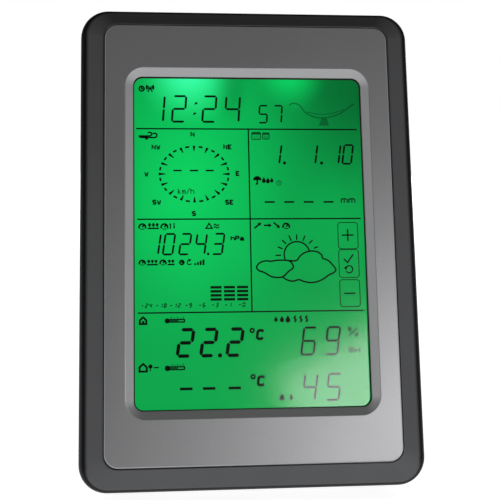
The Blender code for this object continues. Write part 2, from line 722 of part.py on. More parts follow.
def make_leads():
    """Insulated wires from the contacts, the sounder and the air sensor to the board."""
    start = BAY_HALF_X + 0.1
    hole_y = CELL_Y - 2
    pad_y = BOARD_BACK + 0.7
    tube(
        "battery_lead_black",
        smooth_route(
            [
                (-start, hole_y, BAY_Z + CELL_PITCH),
                (-34.0, hole_y, BAY_Z + CELL_PITCH),
                (-38.0, 19.5, 132.0),
                (-37.0, 18.5, 144.0),
                (-34.0, pad_y, 153.0),
                (-33.0, pad_y, 158.0),
            ]
        ),
        0.6,
        LEAD_BLACK,
    )
    tube(
        "battery_lead_red",
        smooth_route(
            [
                (start, hole_y, BAY_Z - CELL_PITCH),
                (34.0, hole_y, BAY_Z - CELL_PITCH),
                (39.0, 19.5, 104.0),
                (40.0, 18.5, 122.0),
                (38.0, 18.0, 140.0),
                (33.0, pad_y, 153.0),
                (32.0, pad_y, 158.0),
            ]
        ),
        0.6,
        LEAD_RED,
    )
    tube(
        "sounder_lead",
        smooth_route(
            [
                (36.0, 25.7, 172.0),
                (30.0, 24.0, 170.0),
                (22.0, 20.0, 171.0),
                (14.0, pad_y, 172.0),
            ]
        ),
        0.6,
        LEAD_WHITE,
    )
    tube(
        "air_sensor_lead",
        smooth_route(
            [
                (-53.0, 26.5, 44.0),
                (-54.0, 25.0, 52.0),
                (-56.0, 20.0, 75.0),
                (-55.0, 18.0, 110.0),
                (-50.0, 18.0, 140.0),
                (-45.0, pad_y, 155.0),
                (-44.0, pad_y, 161.0),
            ]
        ),
        0.6,
        LEAD_WHITE,
    )


def main():
    for old in list(bpy.data.objects):
        bpy.data.objects.remove(old, do_unlink=True)
    make_frames()
    make_front_frame()
    make_front_plate()
    make_rear_cover()
    make_battery_door()
    make_stand()
    make_pads()
    make_screws("case_screw", CASE_SCREWS, (2.8, 27.3, 29.2), (1.3, 9.0))
    make_screws("holder_screw", HOLDER_SCREWS, (2.2, 12.5, 13.8), (1.0, 6.0))
    make_screws("board_screw", BOARD_HOLES, (2.2, BOARD_BACK, 17.3), (1.0, 11.0))
    make_display()
    make_lcd_holder()
    make_ribbon("lcd_ribbon", -39.0, -11.0, 6.2)
    make_ribbon("touch_ribbon", 17.0, 23.0, 4.5)
    make_board()
    make_board_parts()
    make_antenna()
    make_sounder()
    make_air_sensor()
    make_cells()
    make_contacts()
    make_leads()


main()
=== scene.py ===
"""The looks of a desk weather station: a black case, a silver front plate and a green back-lit display."""

import json
import math

import bmesh
import bpy
from mathutils import Matrix, Vector


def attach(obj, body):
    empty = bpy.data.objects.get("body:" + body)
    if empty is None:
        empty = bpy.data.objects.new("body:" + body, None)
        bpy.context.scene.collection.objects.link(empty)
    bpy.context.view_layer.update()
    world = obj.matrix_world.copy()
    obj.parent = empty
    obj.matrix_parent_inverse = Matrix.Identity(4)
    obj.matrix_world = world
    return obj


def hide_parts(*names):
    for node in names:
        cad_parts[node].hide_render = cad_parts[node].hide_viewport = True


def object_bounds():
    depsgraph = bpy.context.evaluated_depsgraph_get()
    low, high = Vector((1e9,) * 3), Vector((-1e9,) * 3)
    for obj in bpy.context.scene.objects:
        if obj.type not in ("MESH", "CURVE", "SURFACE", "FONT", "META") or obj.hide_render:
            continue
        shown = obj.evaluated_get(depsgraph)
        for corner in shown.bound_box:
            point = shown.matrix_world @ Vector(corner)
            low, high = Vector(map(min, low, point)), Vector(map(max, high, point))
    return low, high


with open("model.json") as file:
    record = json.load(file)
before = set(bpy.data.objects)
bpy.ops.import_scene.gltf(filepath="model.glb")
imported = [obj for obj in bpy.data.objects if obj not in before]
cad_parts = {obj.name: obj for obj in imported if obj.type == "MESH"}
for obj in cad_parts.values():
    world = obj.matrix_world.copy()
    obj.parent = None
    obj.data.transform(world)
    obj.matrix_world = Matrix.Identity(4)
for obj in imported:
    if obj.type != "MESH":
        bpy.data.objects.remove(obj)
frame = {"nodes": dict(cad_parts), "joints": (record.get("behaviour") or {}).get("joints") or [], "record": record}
cad_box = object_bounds()

# ---------------------------------------------------------------- sizes, in millimetres in the case's frame

MM = 0.001
GAP = 0.3
LEAN = math.radians(18)
CASE = (148.0, 211.2)
CASE_DEPTH = 32.0
CASE_RADIUS = 12.0
MIDDLE = CASE[1] / 2
FACE_RISE = 0.8
FACE_MIDDLE = MIDDLE + FACE_RISE
WALL = 2.0
PARTING = 17.0
FRONT_EDGE = (3.4, 8.6)
FRONT_EDGE_END = 11.8
FRONT_SLOPE = math.radians(20)
BACK_EDGE = (7.0, 10.0)
PLATE = (125.7, 191.5, 6.0)
PLATE_THICK = 1.6
BEZEL = (107.8, 152.3, 8.5)
WINDOW = (101.0, 145.4, 4.0)
WINDOW_DEPTH = 2.2
FUNNEL_BACK = 2.6
OPENING = (109.0, 153.5, 9.1)
FRONT_WALL = (1.9, 3.9)
HOLLOW_EDGE = 6.2
HOLLOW_TURN = 12.0
BOARD_FRONT = 14.0
BOARD_HOLES = ((-50.0, 200.0), (50.0, 200.0))
CASE_SCREWS = ((-62.5, 18.0), (62.5, 18.0), (-62.5, 194.0), (62.5, 194.0))
HOLDER_SCREWS = ((-60.2, 60.0), (60.2, 60.0), (-60.2, 152.0), (60.2, 152.0))
STAND_HINGE = (27.5, 20.0)
DOOR_HINGE = (30.7, 85.6)
LCD_FRONT = 5.2
INK = (LCD_FRONT - 0.08, LCD_FRONT - 0.02)
QUARTER_STEPS = 12
CREASE = math.radians(32)

# The camera, from the display: its turn about z, y and x in degrees, and where the display lies from it
CAMERA_TURN = (-0.39, -5.14, -8.63)
CAMERA_REACH = (0.6, -5.1, 413.6)
CAMERA_LENS = 69.12

# The room's light, as the object sees it. ROOM_SIDES runs from its left, over ROOM_REACH, to its right.
FLOOR_GLOW = 0.88
ROOM_BAND = (0.28, 0.62)
ROOM_LOW = 0.55
ROOM_HIGH = 0.2
BEHIND_BAND = (-0.2, 0.35)
ROOM_BEHIND = 0.12
ROOM_REACH = 0.9
ROOM_SIDES = (0.1, 2.3, 1.3, 0.92, 1.3, 1.9, 1.3)
VIEWER = (0.05, -0.89, 0.45)
VIEWER_BAND = (0.62, 0.96)
VIEWER_SHADE = 0.08
GLASS_ROUGHNESS = 0.11

# The case leans back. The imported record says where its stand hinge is, and that fixes the rest.
joints = {joint["name"]: joint for joint in frame["joints"]}
lean_turn = Matrix.Rotation(-LEAN, 3, "X")
case_origin = Vector(joints["stand_hinge"]["pos_m"]) - lean_turn @ Vector((0, *STAND_HINGE)) * MM
CASE_PLACE = Matrix.Translation(case_origin) @ lean_turn.to_4x4()
FRONT_PLACE = CASE_PLACE @ Matrix.Translation((0, 0, FACE_MIDDLE * MM))


# ---------------------------------------------------------------- camera, floor and light


def link(thing):
    bpy.context.scene.collection.objects.link(thing)
    return thing


def make_camera():
    """A camera in front of the display, a little to its left and above the table."""
    turn = Matrix.Identity(3)
    for degrees, axis in zip(CAMERA_TURN, "ZYX"):
        turn = turn @ Matrix.Rotation(math.radians(degrees), 3, axis)
    centre = -(turn.transposed() @ Vector(CAMERA_REACH))
    to_case = Matrix(((1, 0, 0), (0, 0, 1), (0, -1, 0)))
    axes = to_case @ turn.transposed()
    place = Matrix.Identity(4)
    for column, axis in enumerate((axes.col[0], -axes.col[1], -axes.col[2])):
        for row in range(3):
            place[row][column] = axis[row]
    place.translation = (to_case @ centre) * MM
    data = bpy.data.cameras.new("camera")
    data.lens = CAMERA_LENS
    data.sensor_width = 36.0
    camera = link(bpy.data.objects.new("camera", data))
    camera.matrix_world = FRONT_PLACE @ place
    bpy.context.scene.camera = camera


def make_floor():
    """A white sheet that glows a little, so that it stays white under the console."""
    shape = bmesh.new()
    bmesh.ops.create_grid(shape, x_segments=1, y_segments=1, size=8.0)
    mesh = bpy.data.meshes.new("floor")
    shape.to_mesh(mesh)
    shape.free()
    floor = link(bpy.data.objects.new("floor", mesh))
    paint = Paint("floor", (0.86, 0.86, 0.87), 0.9)
    paint.shader.inputs["Emission Color"].default_value = (1.0, 1.0, 1.0, 1.0)
    paint.shader.inputs["Emission Strength"].default_value = FLOOR_GLOW
    mesh.materials.append(paint.material)


def make_light(name, azimuth, elevation, distance, size, radiance, roll=0.0):
    """A soft box that faces the console. Azimuth 0 is in front of it and 90 on its right."""
    data = bpy.data.lights.new(name, "AREA")
    data.shape = "RECTANGLE"
    data.size, data.size_y = size
    data.energy = radiance * math.pi * size[0] * size[1]
    light = link(bpy.data.objects.new(name, data))
    a, e = math.radians(azimuth), math.radians(elevation)
    away = Vector((math.sin(a) * math.cos(e), -math.cos(a) * math.cos(e), math.sin(e)))
    light.location = (cad_box[0] + cad_box[1]) / 2 + away * distance
    light.rotation_mode = "QUATERNION"
    spin = Matrix.Rotation(math.radians(roll), 4, "Z").to_quaternion()
    light.rotation_quaternion = away.to_track_quat("Z", "Y") @ spin
    light.visible_camera = False


def make_world():
    """White behind the object, and for the object a room that is dim above, behind and at the viewer."""
    world = bpy.data.worlds.new("studio")
    bpy.context.scene.world = world
    world.use_nodes = True
    room = Tree(world.node_tree)
    direction = room.node("TexCoord", {}, "Generated")
    x, y, z = room.axes(direction)
    level = room.spread(z, *ROOM_BAND, ROOM_LOW, ROOM_HIGH, "SMOOTHSTEP")
    behind = room.spread(y, *BEHIND_BAND, 1.0, ROOM_BEHIND, "SMOOTHSTEP")
    to_viewer = {0: direction, 1: Vector(VIEWER).normalized()}
    facing = room.node("VectorMath", to_viewer, "Value", operation="DOT_PRODUCT")
    viewer = room.spread(facing, *VIEWER_BAND, 1.0, VIEWER_SHADE, "SMOOTHSTEP")
    across = room.spread(x, -ROOM_REACH, ROOM_REACH, 0.0, 1.0)
    sides = room.node("FloatCurve", {"Value": across})
    curve = sides.node.mapping
    curve.clip_max_y = 4.0
    points = curve.curves[0].points
    points[0].location, points[1].location = (0.0, ROOM_SIDES[0]), (1.0, ROOM_SIDES[-1])
    for index, share in enumerate(ROOM_SIDES[1:-1], 1):
        points.new(index / (len(ROOM_SIDES) - 1), share)
    curve.update()
    for share in (behind, viewer, sides):
        level = room.sum("MULTIPLY", level, share)
    seen = room.mix(room.node("LightPath", {}, "Is Camera Ray"), level, (1.0, 1.0, 1.0))
    room.links.new(seen, room.nodes["Background"].inputs["Color"])


# ---------------------------------------------------------------- materials


class Tree:
    """Short ways to add nodes to a node tree."""

    def __init__(self, tree):
        self.nodes = tree.nodes
        self.links = tree.links

    def fill(self, socket, value):
        if isinstance(value, bpy.types.NodeSocket):
            self.links.new(value, socket)
        elif socket.type == "RGBA":
            socket.default_value = (*value, 1.0)
        else:
            socket.default_value = value

    def node(self, kind, inputs, output=0, **settings):
        made = self.nodes.new("ShaderNode" + kind)
        for key, value in settings.items():
            setattr(made, key, value)
        for key, value in inputs.items():
            self.fill(made.inputs[key], value)
        return made.outputs[output]

    def spread(self, value, low, high, bottom, top, kind="LINEAR"):
        """value from low to high, taken to bottom to top."""
        inputs = {"Value": value, "From Min": low, "From Max": high, "To Min": bottom, "To Max": top}
        return self.node("MapRange", inputs, interpolation_type=kind)

    def sum(self, operation, first, second):
        return self.node("Math", {0: first, 1: second}, operation=operation)

    def mix(self, share, first, second):
        made = self.nodes.new("ShaderNodeMix")
        made.data_type = "RGBA"
        for key, value in (("Factor", share), ("A", first), ("B", second)):
            self.fill(made.inputs[key], value)
        return made.outputs["Result"]

    def axes(self, place):
        parts = self.nodes.new("ShaderNodeSeparateXYZ")
        self.links.new(place, parts.inputs[0])
        return parts.outputs


class Paint(Tree):
    """A Principled material with short ways to add the nodes that drive it."""

    def __init__(self, name, colour, roughness, metallic=0.0, specular=0.5):
        self.material = bpy.data.materials.new(name)
        self.material.use_nodes = True
        super().__init__(self.material.node_tree)
        self.shader = self.nodes["Principled BSDF"]
        self.set("Base Color", colour)
        self.set("Roughness", roughness)
        self.set("Metallic", metallic)
        self.set("Specular IOR Level", specular)
        self.spot = self.node("TexCoord", {}, "Object")

    def set(self, key, value):
        self.fill(self.shader.inputs[key], value)

    def noise(self, scale, detail=3.0, roughness=0.6, place=None):
        inputs = {"Vector": place or self.spot, "Scale": scale, "Detail": detail, "Roughness": roughness}
        return self.node("TexNoise", inputs)

    def bump(self, height, strength, distance):
        inputs = {"Height": height, "Strength": strength, "Distance": distance}
        self.set("Normal", self.node("Bump", inputs))


# ---------------------------------------------------------------- shapes, drawn in millimetres


def quarter(steps):
    """(sine, cosine) at even steps through a quarter turn."""
    for step in range(steps + 1):
        angle = math.pi / 2 * step / steps
        yield math.sin(angle), math.cos(angle)


def rounded_outline(width, height, radius, steps=QUARTER_STEPS):
    """The (x, z) points of a rounded rectangle about the origin, anticlockwise."""
    points = []
    for quarter, (side_x, side_z) in enumerate(((1, 1), (-1, 1), (-1, -1), (1, -1))):
        for step in range(steps + 1):
            angle = math.radians(90 * (quarter + step / steps))
            x = side_x * (width / 2 - radius) + radius * math.cos(angle)
            z = side_z * (height / 2 - radius) + radius * math.sin(angle)
            points.append((x, z))
    return points


def skin(rings, around=False):
    """A closed bmesh through rings of points: capped at its ends, or closed on itself like a frame."""
    shape = bmesh.new()
    loops = [[shape.verts.new(point) for point in ring] for ring in rings]
    for first, second in zip(loops, loops[1:] + loops[:1] if around else loops[1:]):
        for here in range(len(first)):
            after = (here + 1) % len(first)
            shape.faces.new((first[here], first[after], second[after], second[here]))
    if not around:
        shape.faces.new(loops[0])
        shape.faces.new(loops[-1])
    return shape


def loft(sections, around=False, steps=QUARTER_STEPS):
    """Rounded rectangles (y, width, height, radius), joined one behind the other."""
    rings = []
    for y, width, height, radius in sections:
        rings.append([(x, y, z) for x, z in rounded_outline(width, height, radius, steps)])
    return skin(rings, around)


def soft_slab(outline, span, edge, steps=QUARTER_STEPS):
    """A slab whose front and back edges are rounded to the radius edge."""
    width, height, radius = outline
    sections = []
    front = list(quarter(4))
    for y, side, turns in ((span[0], 1, front), (span[1], -1, front[::-1])):
        for sine, cosine in turns:
            inset = edge * (1 - sine)
            place = y + side * edge * (1 - cosine)
            sections.append((place, width - 2 * inset, height - 2 * inset, max(radius - inset, 0.05)))
    return loft(sections, steps=steps)


def turned(profile, axis="Y", sides=32):
    """A turned shape from (place along the axis, radius) pairs. The axis is x or y."""
    rings = []
    for along, radius in profile:
        ring = []
        for side in range(sides):
            angle = 2 * math.pi * side / sides
            u = radius * math.cos(angle)
            v = radius * math.sin(angle)
            ring.append((along, u, v) if axis == "X" else (u, along, v))
        rings.append(ring)
    return skin(rings)


def rod(half, end, radius, soft, sides):
    """A round bar along x. Its ends taper to the radius end over the length soft."""
    return turned([(-half, end), (-half + soft, radius), (half - soft, radius), (half, end)], "X", sides)


def box(low, high):
    middle = (Vector(low) + Vector(high)) / 2
    shape = bmesh.new()
    place = Matrix.Translation(middle) @ Matrix.Diagonal(Vector(high) - Vector(low)).to_4x4()
    bmesh.ops.create_cube(shape, size=1.0, matrix=place)
    return shape


def moved(shape, x=0.0, y=0.0, z=0.0):
    bmesh.ops.translate(shape, vec=(x, y, z), verts=shape.verts)
    return shape


def together(*shapes):
    """Several shapes in one bmesh, left as separate solids."""
    whole = bmesh.new()
    for shape in shapes:
        mesh = bpy.data.meshes.new("part")
        shape.to_mesh(mesh)
        shape.free()
        whole.from_mesh(mesh)
        bpy.data.meshes.remove(mesh)
    return whole


def pegs(places, profile, sides=24):
    """Round pegs along y, one at each (x, z)."""
    return together(*(moved(turned(profile, sides=sides), x, 0, z) for x, z in places))


def as_mesh(shape):
    bmesh.ops.recalc_face_normals(shape, faces=shape.faces)
    mesh = bpy.data.meshes.new("shape")
    shape.to_mesh(mesh)
    shape.free()
    return mesh


def carve(shape, *steps):
    """The shape after a run of Booleans, each an operation's name and a shape."""
    thing = link(bpy.data.objects.new("body", as_mesh(shape)))
    tools = [thing]
    for operation, tool_shape in steps:
        tool = link(bpy.data.objects.new("tool", as_mesh(tool_shape)))
        modifier = thing.modifiers.new("step", "BOOLEAN")
        modifier.operation = operation
        modifier.object = tool
        tools.append(tool)
    graph = bpy.context.evaluated_depsgraph_get()
    result = bmesh.new()
    result.from_object(thing, graph)
    for tool in tools:
        mesh = tool.data
        bpy.data.objects.remove(tool)
        bpy.data.meshes.remove(mesh)
    return result


def piece(name, shape, paint, body="console", stands_for=(), place=CASE_PLACE):
    """An object of a shape that is drawn in millimetres in the frame that place puts in the world."""
    bmesh.ops.recalc_face_normals(shape, faces=shape.faces)
    bmesh.ops.scale(shape, vec=(MM, MM, MM), verts=shape.verts)
    mesh = bpy.data.meshes.new(name)
    shape.to_mesh(mesh)
    shape.free()
    mesh.shade_smooth()
    mesh.set_sharp_from_angle(angle=CREASE)
    mesh.materials.append(paint.material)
    thing = link(bpy.data.objects.new(name, mesh))
    thing.matrix_world = place
    even = thing.modifiers.new("even_normals", "WEIGHTED_NORMAL")
    even.keep_sharp = True
    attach(thing, body)
    if stands_for:
        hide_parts(*stands_for)


# ---------------------------------------------------------------- the display's picture

# x and z here are millimetres from the middle of the window. A glyph is drawn on a 4 by 6 grid, and each
# of its strokes is a run of points, two digits to a point.
DIGIT_SLANT = math.tan(math.radians(8.5))
CLOCK_SLANT = math.tan(math.radians(4.5))
SEGMENTS = {"0": "abcdef", "1": "bc", "2": "abged", "3": "abgcd", "4": "fgbc"}
SEGMENTS.update({"5": "afgcd", "6": "afgedc", "7": "abc", "8": "abcdefg", "9": "abcdfg"})
GLYPHS = {
    "N": "00 06 40 46",
    "E": "40 00 06 46|03 33",
    "S": "01 10 30 41 42 33 13 04 05 16 36 45",
    "W": "06 10 23 30 46",
    "C": "41 30 10 01 05 16 36 45",
    "P": "00 06 36 45 44 33 03",
    "R": "00 06 36 45 44 33 03|23 40",
    "H": "00 06|40 46|03 43",
    "h": "00 06|03 14 34 43 40",
    "a": "04 34 43 40 10 01 12 42",
    "m": "00 04|03 14 24 20|24 34 43 40",
    "k": "00 06|02 34|12 30",
    "/": "00 46",
    "%": "00 46|04 06 16 14 04|30 32 42 40 30",
}


def arc(centre, radius, first, last, steps=12):
    """Points on part of a circle or, where radius is a pair, of an ellipse. Angles are degrees from +x."""
    wide, high = radius if isinstance(radius, tuple) else (radius, radius)
    points = []
    for step in range(steps + 1):
        angle = math.radians(first + (last - first) * step / steps)
        points.append((centre[0] + wide * math.cos(angle), centre[1] + high * math.sin(angle)))
    return points


def smooth_line(route, steps=5, closed=False):
    """Points on the Catmull-Rom curve through the route's own points."""
    count = len(route)
    spots = [Vector(point) for point in route]
    points = []
    for index in range(count if closed else count - 1):
        if closed:
            a, b, c, d = (spots[(index + offset) % count] for offset in (-1, 0, 1, 2))
        else:
            a, b = spots[max(index - 1, 0)], spots[index]
            c, d = spots[index + 1], spots[min(index + 2, count - 1)]
        for step in range(steps):
            t = step / steps
            points.append(
                b
                + (c - a) * (t / 2)
                + (a * 2 - b * 5 + c * 4 - d) * (t * t / 2)
                + (b * 3 - a - c * 3 + d) * (t * t * t / 2)
            )
    if not closed:
        points.append(spots[-1])
    return [tuple(point) for point in points]


class Ink:
    """Flat shapes on the display, each a thin prism of its own."""

    def __init__(self):
        self.shape = bmesh.new()

    def area(self, points):
        front, back = ([self.shape.verts.new((x, y, z)) for x, z in points] for y in INK)
        self.shape.faces.new(front)
        self.shape.faces.new(back[::-1])
        for here in range(len(points)):
            after = (here + 1) % len(points)
            self.shape.faces.new((front[here], front[after], back[after], back[here]))

    def box(self, low, high):
        self.area([(low[0], low[1]), (high[0], low[1]), (high[0], high[1]), (low[0], high[1])])

    def dot(self, centre, radius, steps=14):
        self.area(arc(centre, radius, 0, 360 * (1 - 1 / steps), steps - 1))

    def bar(self, start, end, width, point=0.5):
        """A straight segment with bevelled ends, as long as point times its width."""
        a, b = Vector(start), Vector(end)
        along = (b - a).normalized()
        across = Vector((-along.y, along.x)) * (width / 2)
        tip = along * (width * point)
        self.area([a, a + tip + across, b - tip + across, b, b - tip - across, a + tip - across])

    def stroke(self, points, width, closed=False):
        """A line of even width through the points, with mitred corners."""
        spots = [Vector(point) for point in points]
        count = len(spots)
        rails = []
        for index, spot in enumerate(spots):
            before = spots[index - 1] if closed or index else spot
            after = spots[(index + 1) % count] if closed or index < count - 1 else spot
            ways = [way.normalized() for way in (spot - before, after - spot) if way.length > 1e-6]
            middle = sum(ways, Vector((0, 0))).normalized()
            across = Vector((-middle.y, middle.x))
            stretch = 1 / max(abs(middle.dot(ways[0])), 0.5)
            reach = across * (width / 2 * stretch)
            rails.append([(*(spot + reach * side), y) for side in (1, -1) for y in INK])
        corners = [[self.shape.verts.new((x, y, z)) for x, z, y in rail] for rail in rails]
        pairs = list(zip(corners, corners[1:] + corners[:1] if closed else corners[1:]))
        for here, after in pairs:
            for first, second in ((0, 1), (1, 3), (3, 2), (2, 0)):
                self.shape.faces.new((here[first], here[second], after[second], after[first]))
        if not closed:
            for end in (corners[0], corners[-1]):
                self.shape.faces.new((end[0], end[1], end[3], end[2]))

    def frame(self, low, high, radius, width):
        centre = ((low[0] + high[0]) / 2, (low[1] + high[1]) / 2)
        outline = rounded_outline(high[0] - low[0], high[1] - low[1], radius, 4)
        self.stroke([(centre[0] + x, centre[1] + z) for x, z in outline], width, True)

    def digit(self, character, left, low, width, height, line, slant=DIGIT_SLANT):
        """A leaning seven-segment digit. width leaves out the lean."""
        half = line / 2
        joint = line * 0.1
        x = (left + half, left + width - half)
        z = (low + half, low + height / 2, low + height - half)
        ends = {
            "a": ((x[0], z[2]), (x[1], z[2])),
            "g": ((x[0], z[1]), (x[1], z[1])),
            "d": ((x[0], z[0]), (x[1], z[0])),
            "b": ((x[1], z[1]), (x[1], z[2])),
            "c": ((x[1], z[0]), (x[1], z[1])),
            "f": ((x[0], z[1]), (x[0], z[2])),
            "e": ((x[0], z[0]), (x[0], z[1])),
        }
        for name in SEGMENTS[character]:
            (x0, z0), (x1, z1) = ends[name]
            if z0 == z1:
                x0, x1 = x0 + joint, x1 - joint
            else:
                z0, z1 = z0 + joint, z1 - joint
            lean = [(x + (z - low) * slant, z) for x, z in ((x0, z0), (x1, z1))]
            self.bar(*lean, line)

    def row(self, text, lefts, low, width, height, line, slant=DIGIT_SLANT):
        """Digits, one at each left."""
        for character, left in zip(text, lefts):
            self.digit(character, left, low, width, height, line, slant)

    def dashes(self, z, lefts, length, thick):
        for left in lefts:
            self.box((left, z - thick / 2), (left + length, z + thick / 2))

    def text(self, text, left, low, high, width, step, line, lean=0.0):
        """Letters from the glyph table, each as wide as width and step apart."""
        for index, character in enumerate(text):
            for run in GLYPHS[character].split("|"):
                points = []
                for pair in run.split():
                    z = int(pair[1]) / 6 * (high - low)
                    points.append((left + index * step + int(pair[0]) / 4 * width + z * lean, low + z))
                self.stroke(points, line)

    # ------------------------------------------------------------ small pictures that stand for words

    def arrow(self, start, end, line, head=0.9):
        a, b = Vector(start), Vector(end)
        along = (b - a).normalized()
        across = Vector((-along.y, along.x)) * head * 0.6
        self.stroke([a, b - along * head * 0.8], line)
        self.area([b, b - along * head + across, b - along * head - across])

    def clock(self, x, z, radius, line=0.68):
        self.stroke(arc((x, z), radius - line / 2, 0, 337.5, 15), line, True)
        self.stroke([(x, z + radius * 0.6), (x, z), (x + radius * 0.45, z - radius * 0.1)], line)

    def gauge(self, x, z, radius, line=0.75):
        self.stroke(arc((x, z - radius * 0.35), radius, 205, -25, 12), line)
        self.stroke([(x, z - radius * 0.35), (x + radius * 0.5, z + radius * 0.3)], line)
        self.box((x - radius * 0.6, z - radius * 1.1), (x + radius * 0.6, z - radius * 0.8))

    def pressing(self, left, right, z, size, count):
        """Arrows that press down on a bar."""
        self.box((left, z - size / 2), (right, z - size / 2 + 0.65))
        for index in range(count):
            x = left + (right - left) * (index + 0.5) / count
            self.arrow((x, z + size / 2), (x, z - size / 2 + 0.7), 0.75, 1.4)

    def mast(self, x, z, size, line=0.65):
        feet = z - size / 2
        self.stroke([(x - size * 0.35, feet), (x, z + size * 0.2), (x + size * 0.35, feet)], line)
        self.dot((x, z + size * 0.25), 0.35)
        for side in (0, 180):
            for radius in (0.9, 1.6):
                self.stroke(arc((x, z + size * 0.25), radius, side - 40, side + 40, 4), line)

    def drop(self, x, z, size):
        self.area([(x, z + size / 2), *arc((x, z - size * 0.17), size * 0.33, 150, 390, 10)])

    def streak(self, left, right, z, curl, line=0.65):
        """A line of wind with a curl at its end."""
        turn = math.copysign(1, curl)
        end = arc((right - abs(curl), z + curl), abs(curl), -90 * turn, 150 * turn, 8)
        self.stroke([(left, z), *end], line)

    def calendar(self, left, low, width, height, line=0.45):
        self.frame((left, low), (left + width, low + height), 0.4, line)
        self.box((left, low + height * 0.68), (left + width, low + height))
        for column in range(3):
            for row in range(2):
                spot = (left + width * (0.27 + 0.23 * column), low + height * (0.2 + 0.27 * row))
                self.dot(spot, 0.24, 8)

    def umbrella(self, x, z, size, line=0.7):
        foot = z - size * 0.4
        self.area(arc((x, z), size * 0.55, 0, 180, 12))
        self.stroke([(x, z), (x, foot), *arc((x - 0.35, foot), 0.35, 0, -160, 5)], line)

    def thermometer(self, left, right, z, size, line=0.6):
        """A thermometer that lies on its side, with a scale above its tube."""
        start = left + size * 0.6
        low, middle, high = z - size * 0.28, z - size * 0.1, z + size * 0.08
        self.dot((left + size * 0.38, middle), size * 0.38)
        tube = [(start, high), (right - 0.2, high), (right, middle), (right - 0.2, low), (start, low)]
        self.stroke(tube, line)
        self.box((left + size * 0.5, z - size * 0.16), (right - size * 0.9, z - size * 0.04))
        ticks = 5
        for index in range(ticks):
            x = left + size + (right - left - size * 1.2) * index / (ticks - 1)
            self.box((x - 0.15, z + size * 0.22), (x + 0.15, z + size * (0.5 if index % 2 == 0 else 0.38)))

    def house(self, left, low, size, line=0.85):
        start, end = left + 0.3, left + size * 1.15 - 0.3
        eaves = low + size * 0.55
        ridge = ((start + end) / 2, low + size)
        self.stroke([(start, low), (start, eaves), ridge, (end, eaves), (end, low)], line, True)

    def bars(self, left, low, heights, width, step):
        for index, height in enumerate(heights):
            self.box((left + index * step, low), (left + index * step + width, low + height))

    def bell(self, x, low, size):
        half = size * 0.42
        left = [(x - half * out, low + size * up) for out, up in ((1.0, 0.15), (0.7, 0.45), (0.55, 0.85))]
        right = [(2 * x - at, z) for at, z in reversed(left)]
        self.area([*left, (x, low + size), *right])
        self.dot((x, low + size * 0.08), size * 0.12, 8)


def show(name, ink, paint):
    piece(name, ink.shape, paint, place=FRONT_PLACE)


def draw_grid(paint):
    ink = Ink()
    for left, right, z in ((-49.4, 48.9, 49.9), (-49.0, 49.2, 9.4), (-48.8, 49.4, -31.3)):
        ink.box((left, z - 0.3), (right, z + 0.3))
    ink.box((-0.2, -31.0), (0.4, 49.6))
    show("lcd_grid", ink, paint)


def draw_clock(paint, thin):
    ink = Ink()
    ink.clock(-46.9, 68.15, 1.45)
    ink.mast(-43.2, 68.1, 2.8)
    show("lcd_clock_signs", ink, paint)
    ink = Ink()
    ink.row("122", (-43.7, -34.2, -20.8), 52.7, 6.5, 12.6, 0.95, CLOCK_SLANT)
    ink.digit("4", -10.8, 52.7, 7.0, 12.6, 0.95, CLOCK_SLANT)
    ink.row("57", (4.4, 10.9), 52.5, 4.3, 8.6, 0.75, CLOCK_SLANT)
    for left, z in ((-24.4, 56.8), (-23.695, 61.5)):
        ink.area([(left + x, z + rise) for x, rise in ((0, -0.6), (1.3, -0.2), (1.5, 0.6), (0.3, 0.5))])
    show("lcd_clock_digits", ink, thin)


def draw_dish(ghost):
    ink = Ink()
    rim = [(18.6, 60.8), (20.6, 62.0), (23.4, 60.9), (26.0, 57.6), (31.0, 55.4), (36.5, 55.6), (42.0, 57.6)]
    ink.stroke(smooth_line([*rim, (48.0, 61.9)], 6), 0.7)
    ink.stroke(smooth_line([(26.6, 58.0), (31.4, 57.0), (37.0, 57.2), (43.6, 59.2)], 6), 0.4)
    ink.area([(33.2, 55.2), (35.6, 55.2), (36.4, 51.6), (31.8, 51.6)])
    show("lcd_signal_dish", ink, ghost)


def draw_wind(paint, faint):
    ink = Ink()
    centre, reach = (-24.1, 29.5), (15.1, 12.35)
    for angle in (22.5 * index for index in range(16)):
        turn = math.radians(angle)
        way = Vector((reach[0] * math.cos(turn), reach[1] * math.sin(turn)))
        across = Vector((-way.y, way.x)).normalized()
        outer, inner = Vector(centre) + way * 1.03, Vector(centre) + way * 0.83
        wide, narrow = across * 0.62, across * 0.16
        ink.area([outer + wide, outer - wide, inner - narrow, inner + narrow])
        ink.stroke(arc(centre, reach, angle + 7.8, angle + 14.8, 3), 0.8)
    ink.dashes(31.05, (-33.2, -26.0, -19.1), 3.6, 0.7)
    show("lcd_wind_rose", ink, paint)
    ink = Ink()
    for streak in ((-48.3, -42.6, 46.6, 0.85), (-47.6, -40.3, 45.9, 1.0), (-48.3, -44.4, 46.2, -0.5)):
        ink.streak(*streak)
    letters = (("N", -25.3, 46.4), ("NE", -10.9, 40.7), ("E", -5.6, 28.7), ("SE", -10.5, 15.8))
    letters += (("S", -25.1, 10.8), ("SW", -42.2, 15.9), ("W", -45.6, 28.4), ("NW", -42.4, 40.5))
    for text, left, low in letters:
        ink.text(text, left, low + 0.2, low + 1.9, 1.3, 2.0, 0.62)
    show("lcd_wind_signs", ink, paint)
    ink = Ink()
    ink.text("km/h", -31.2, 20.6, 23.0, 1.3, 1.85, 0.42)
    show("lcd_wind_unit", ink, faint)


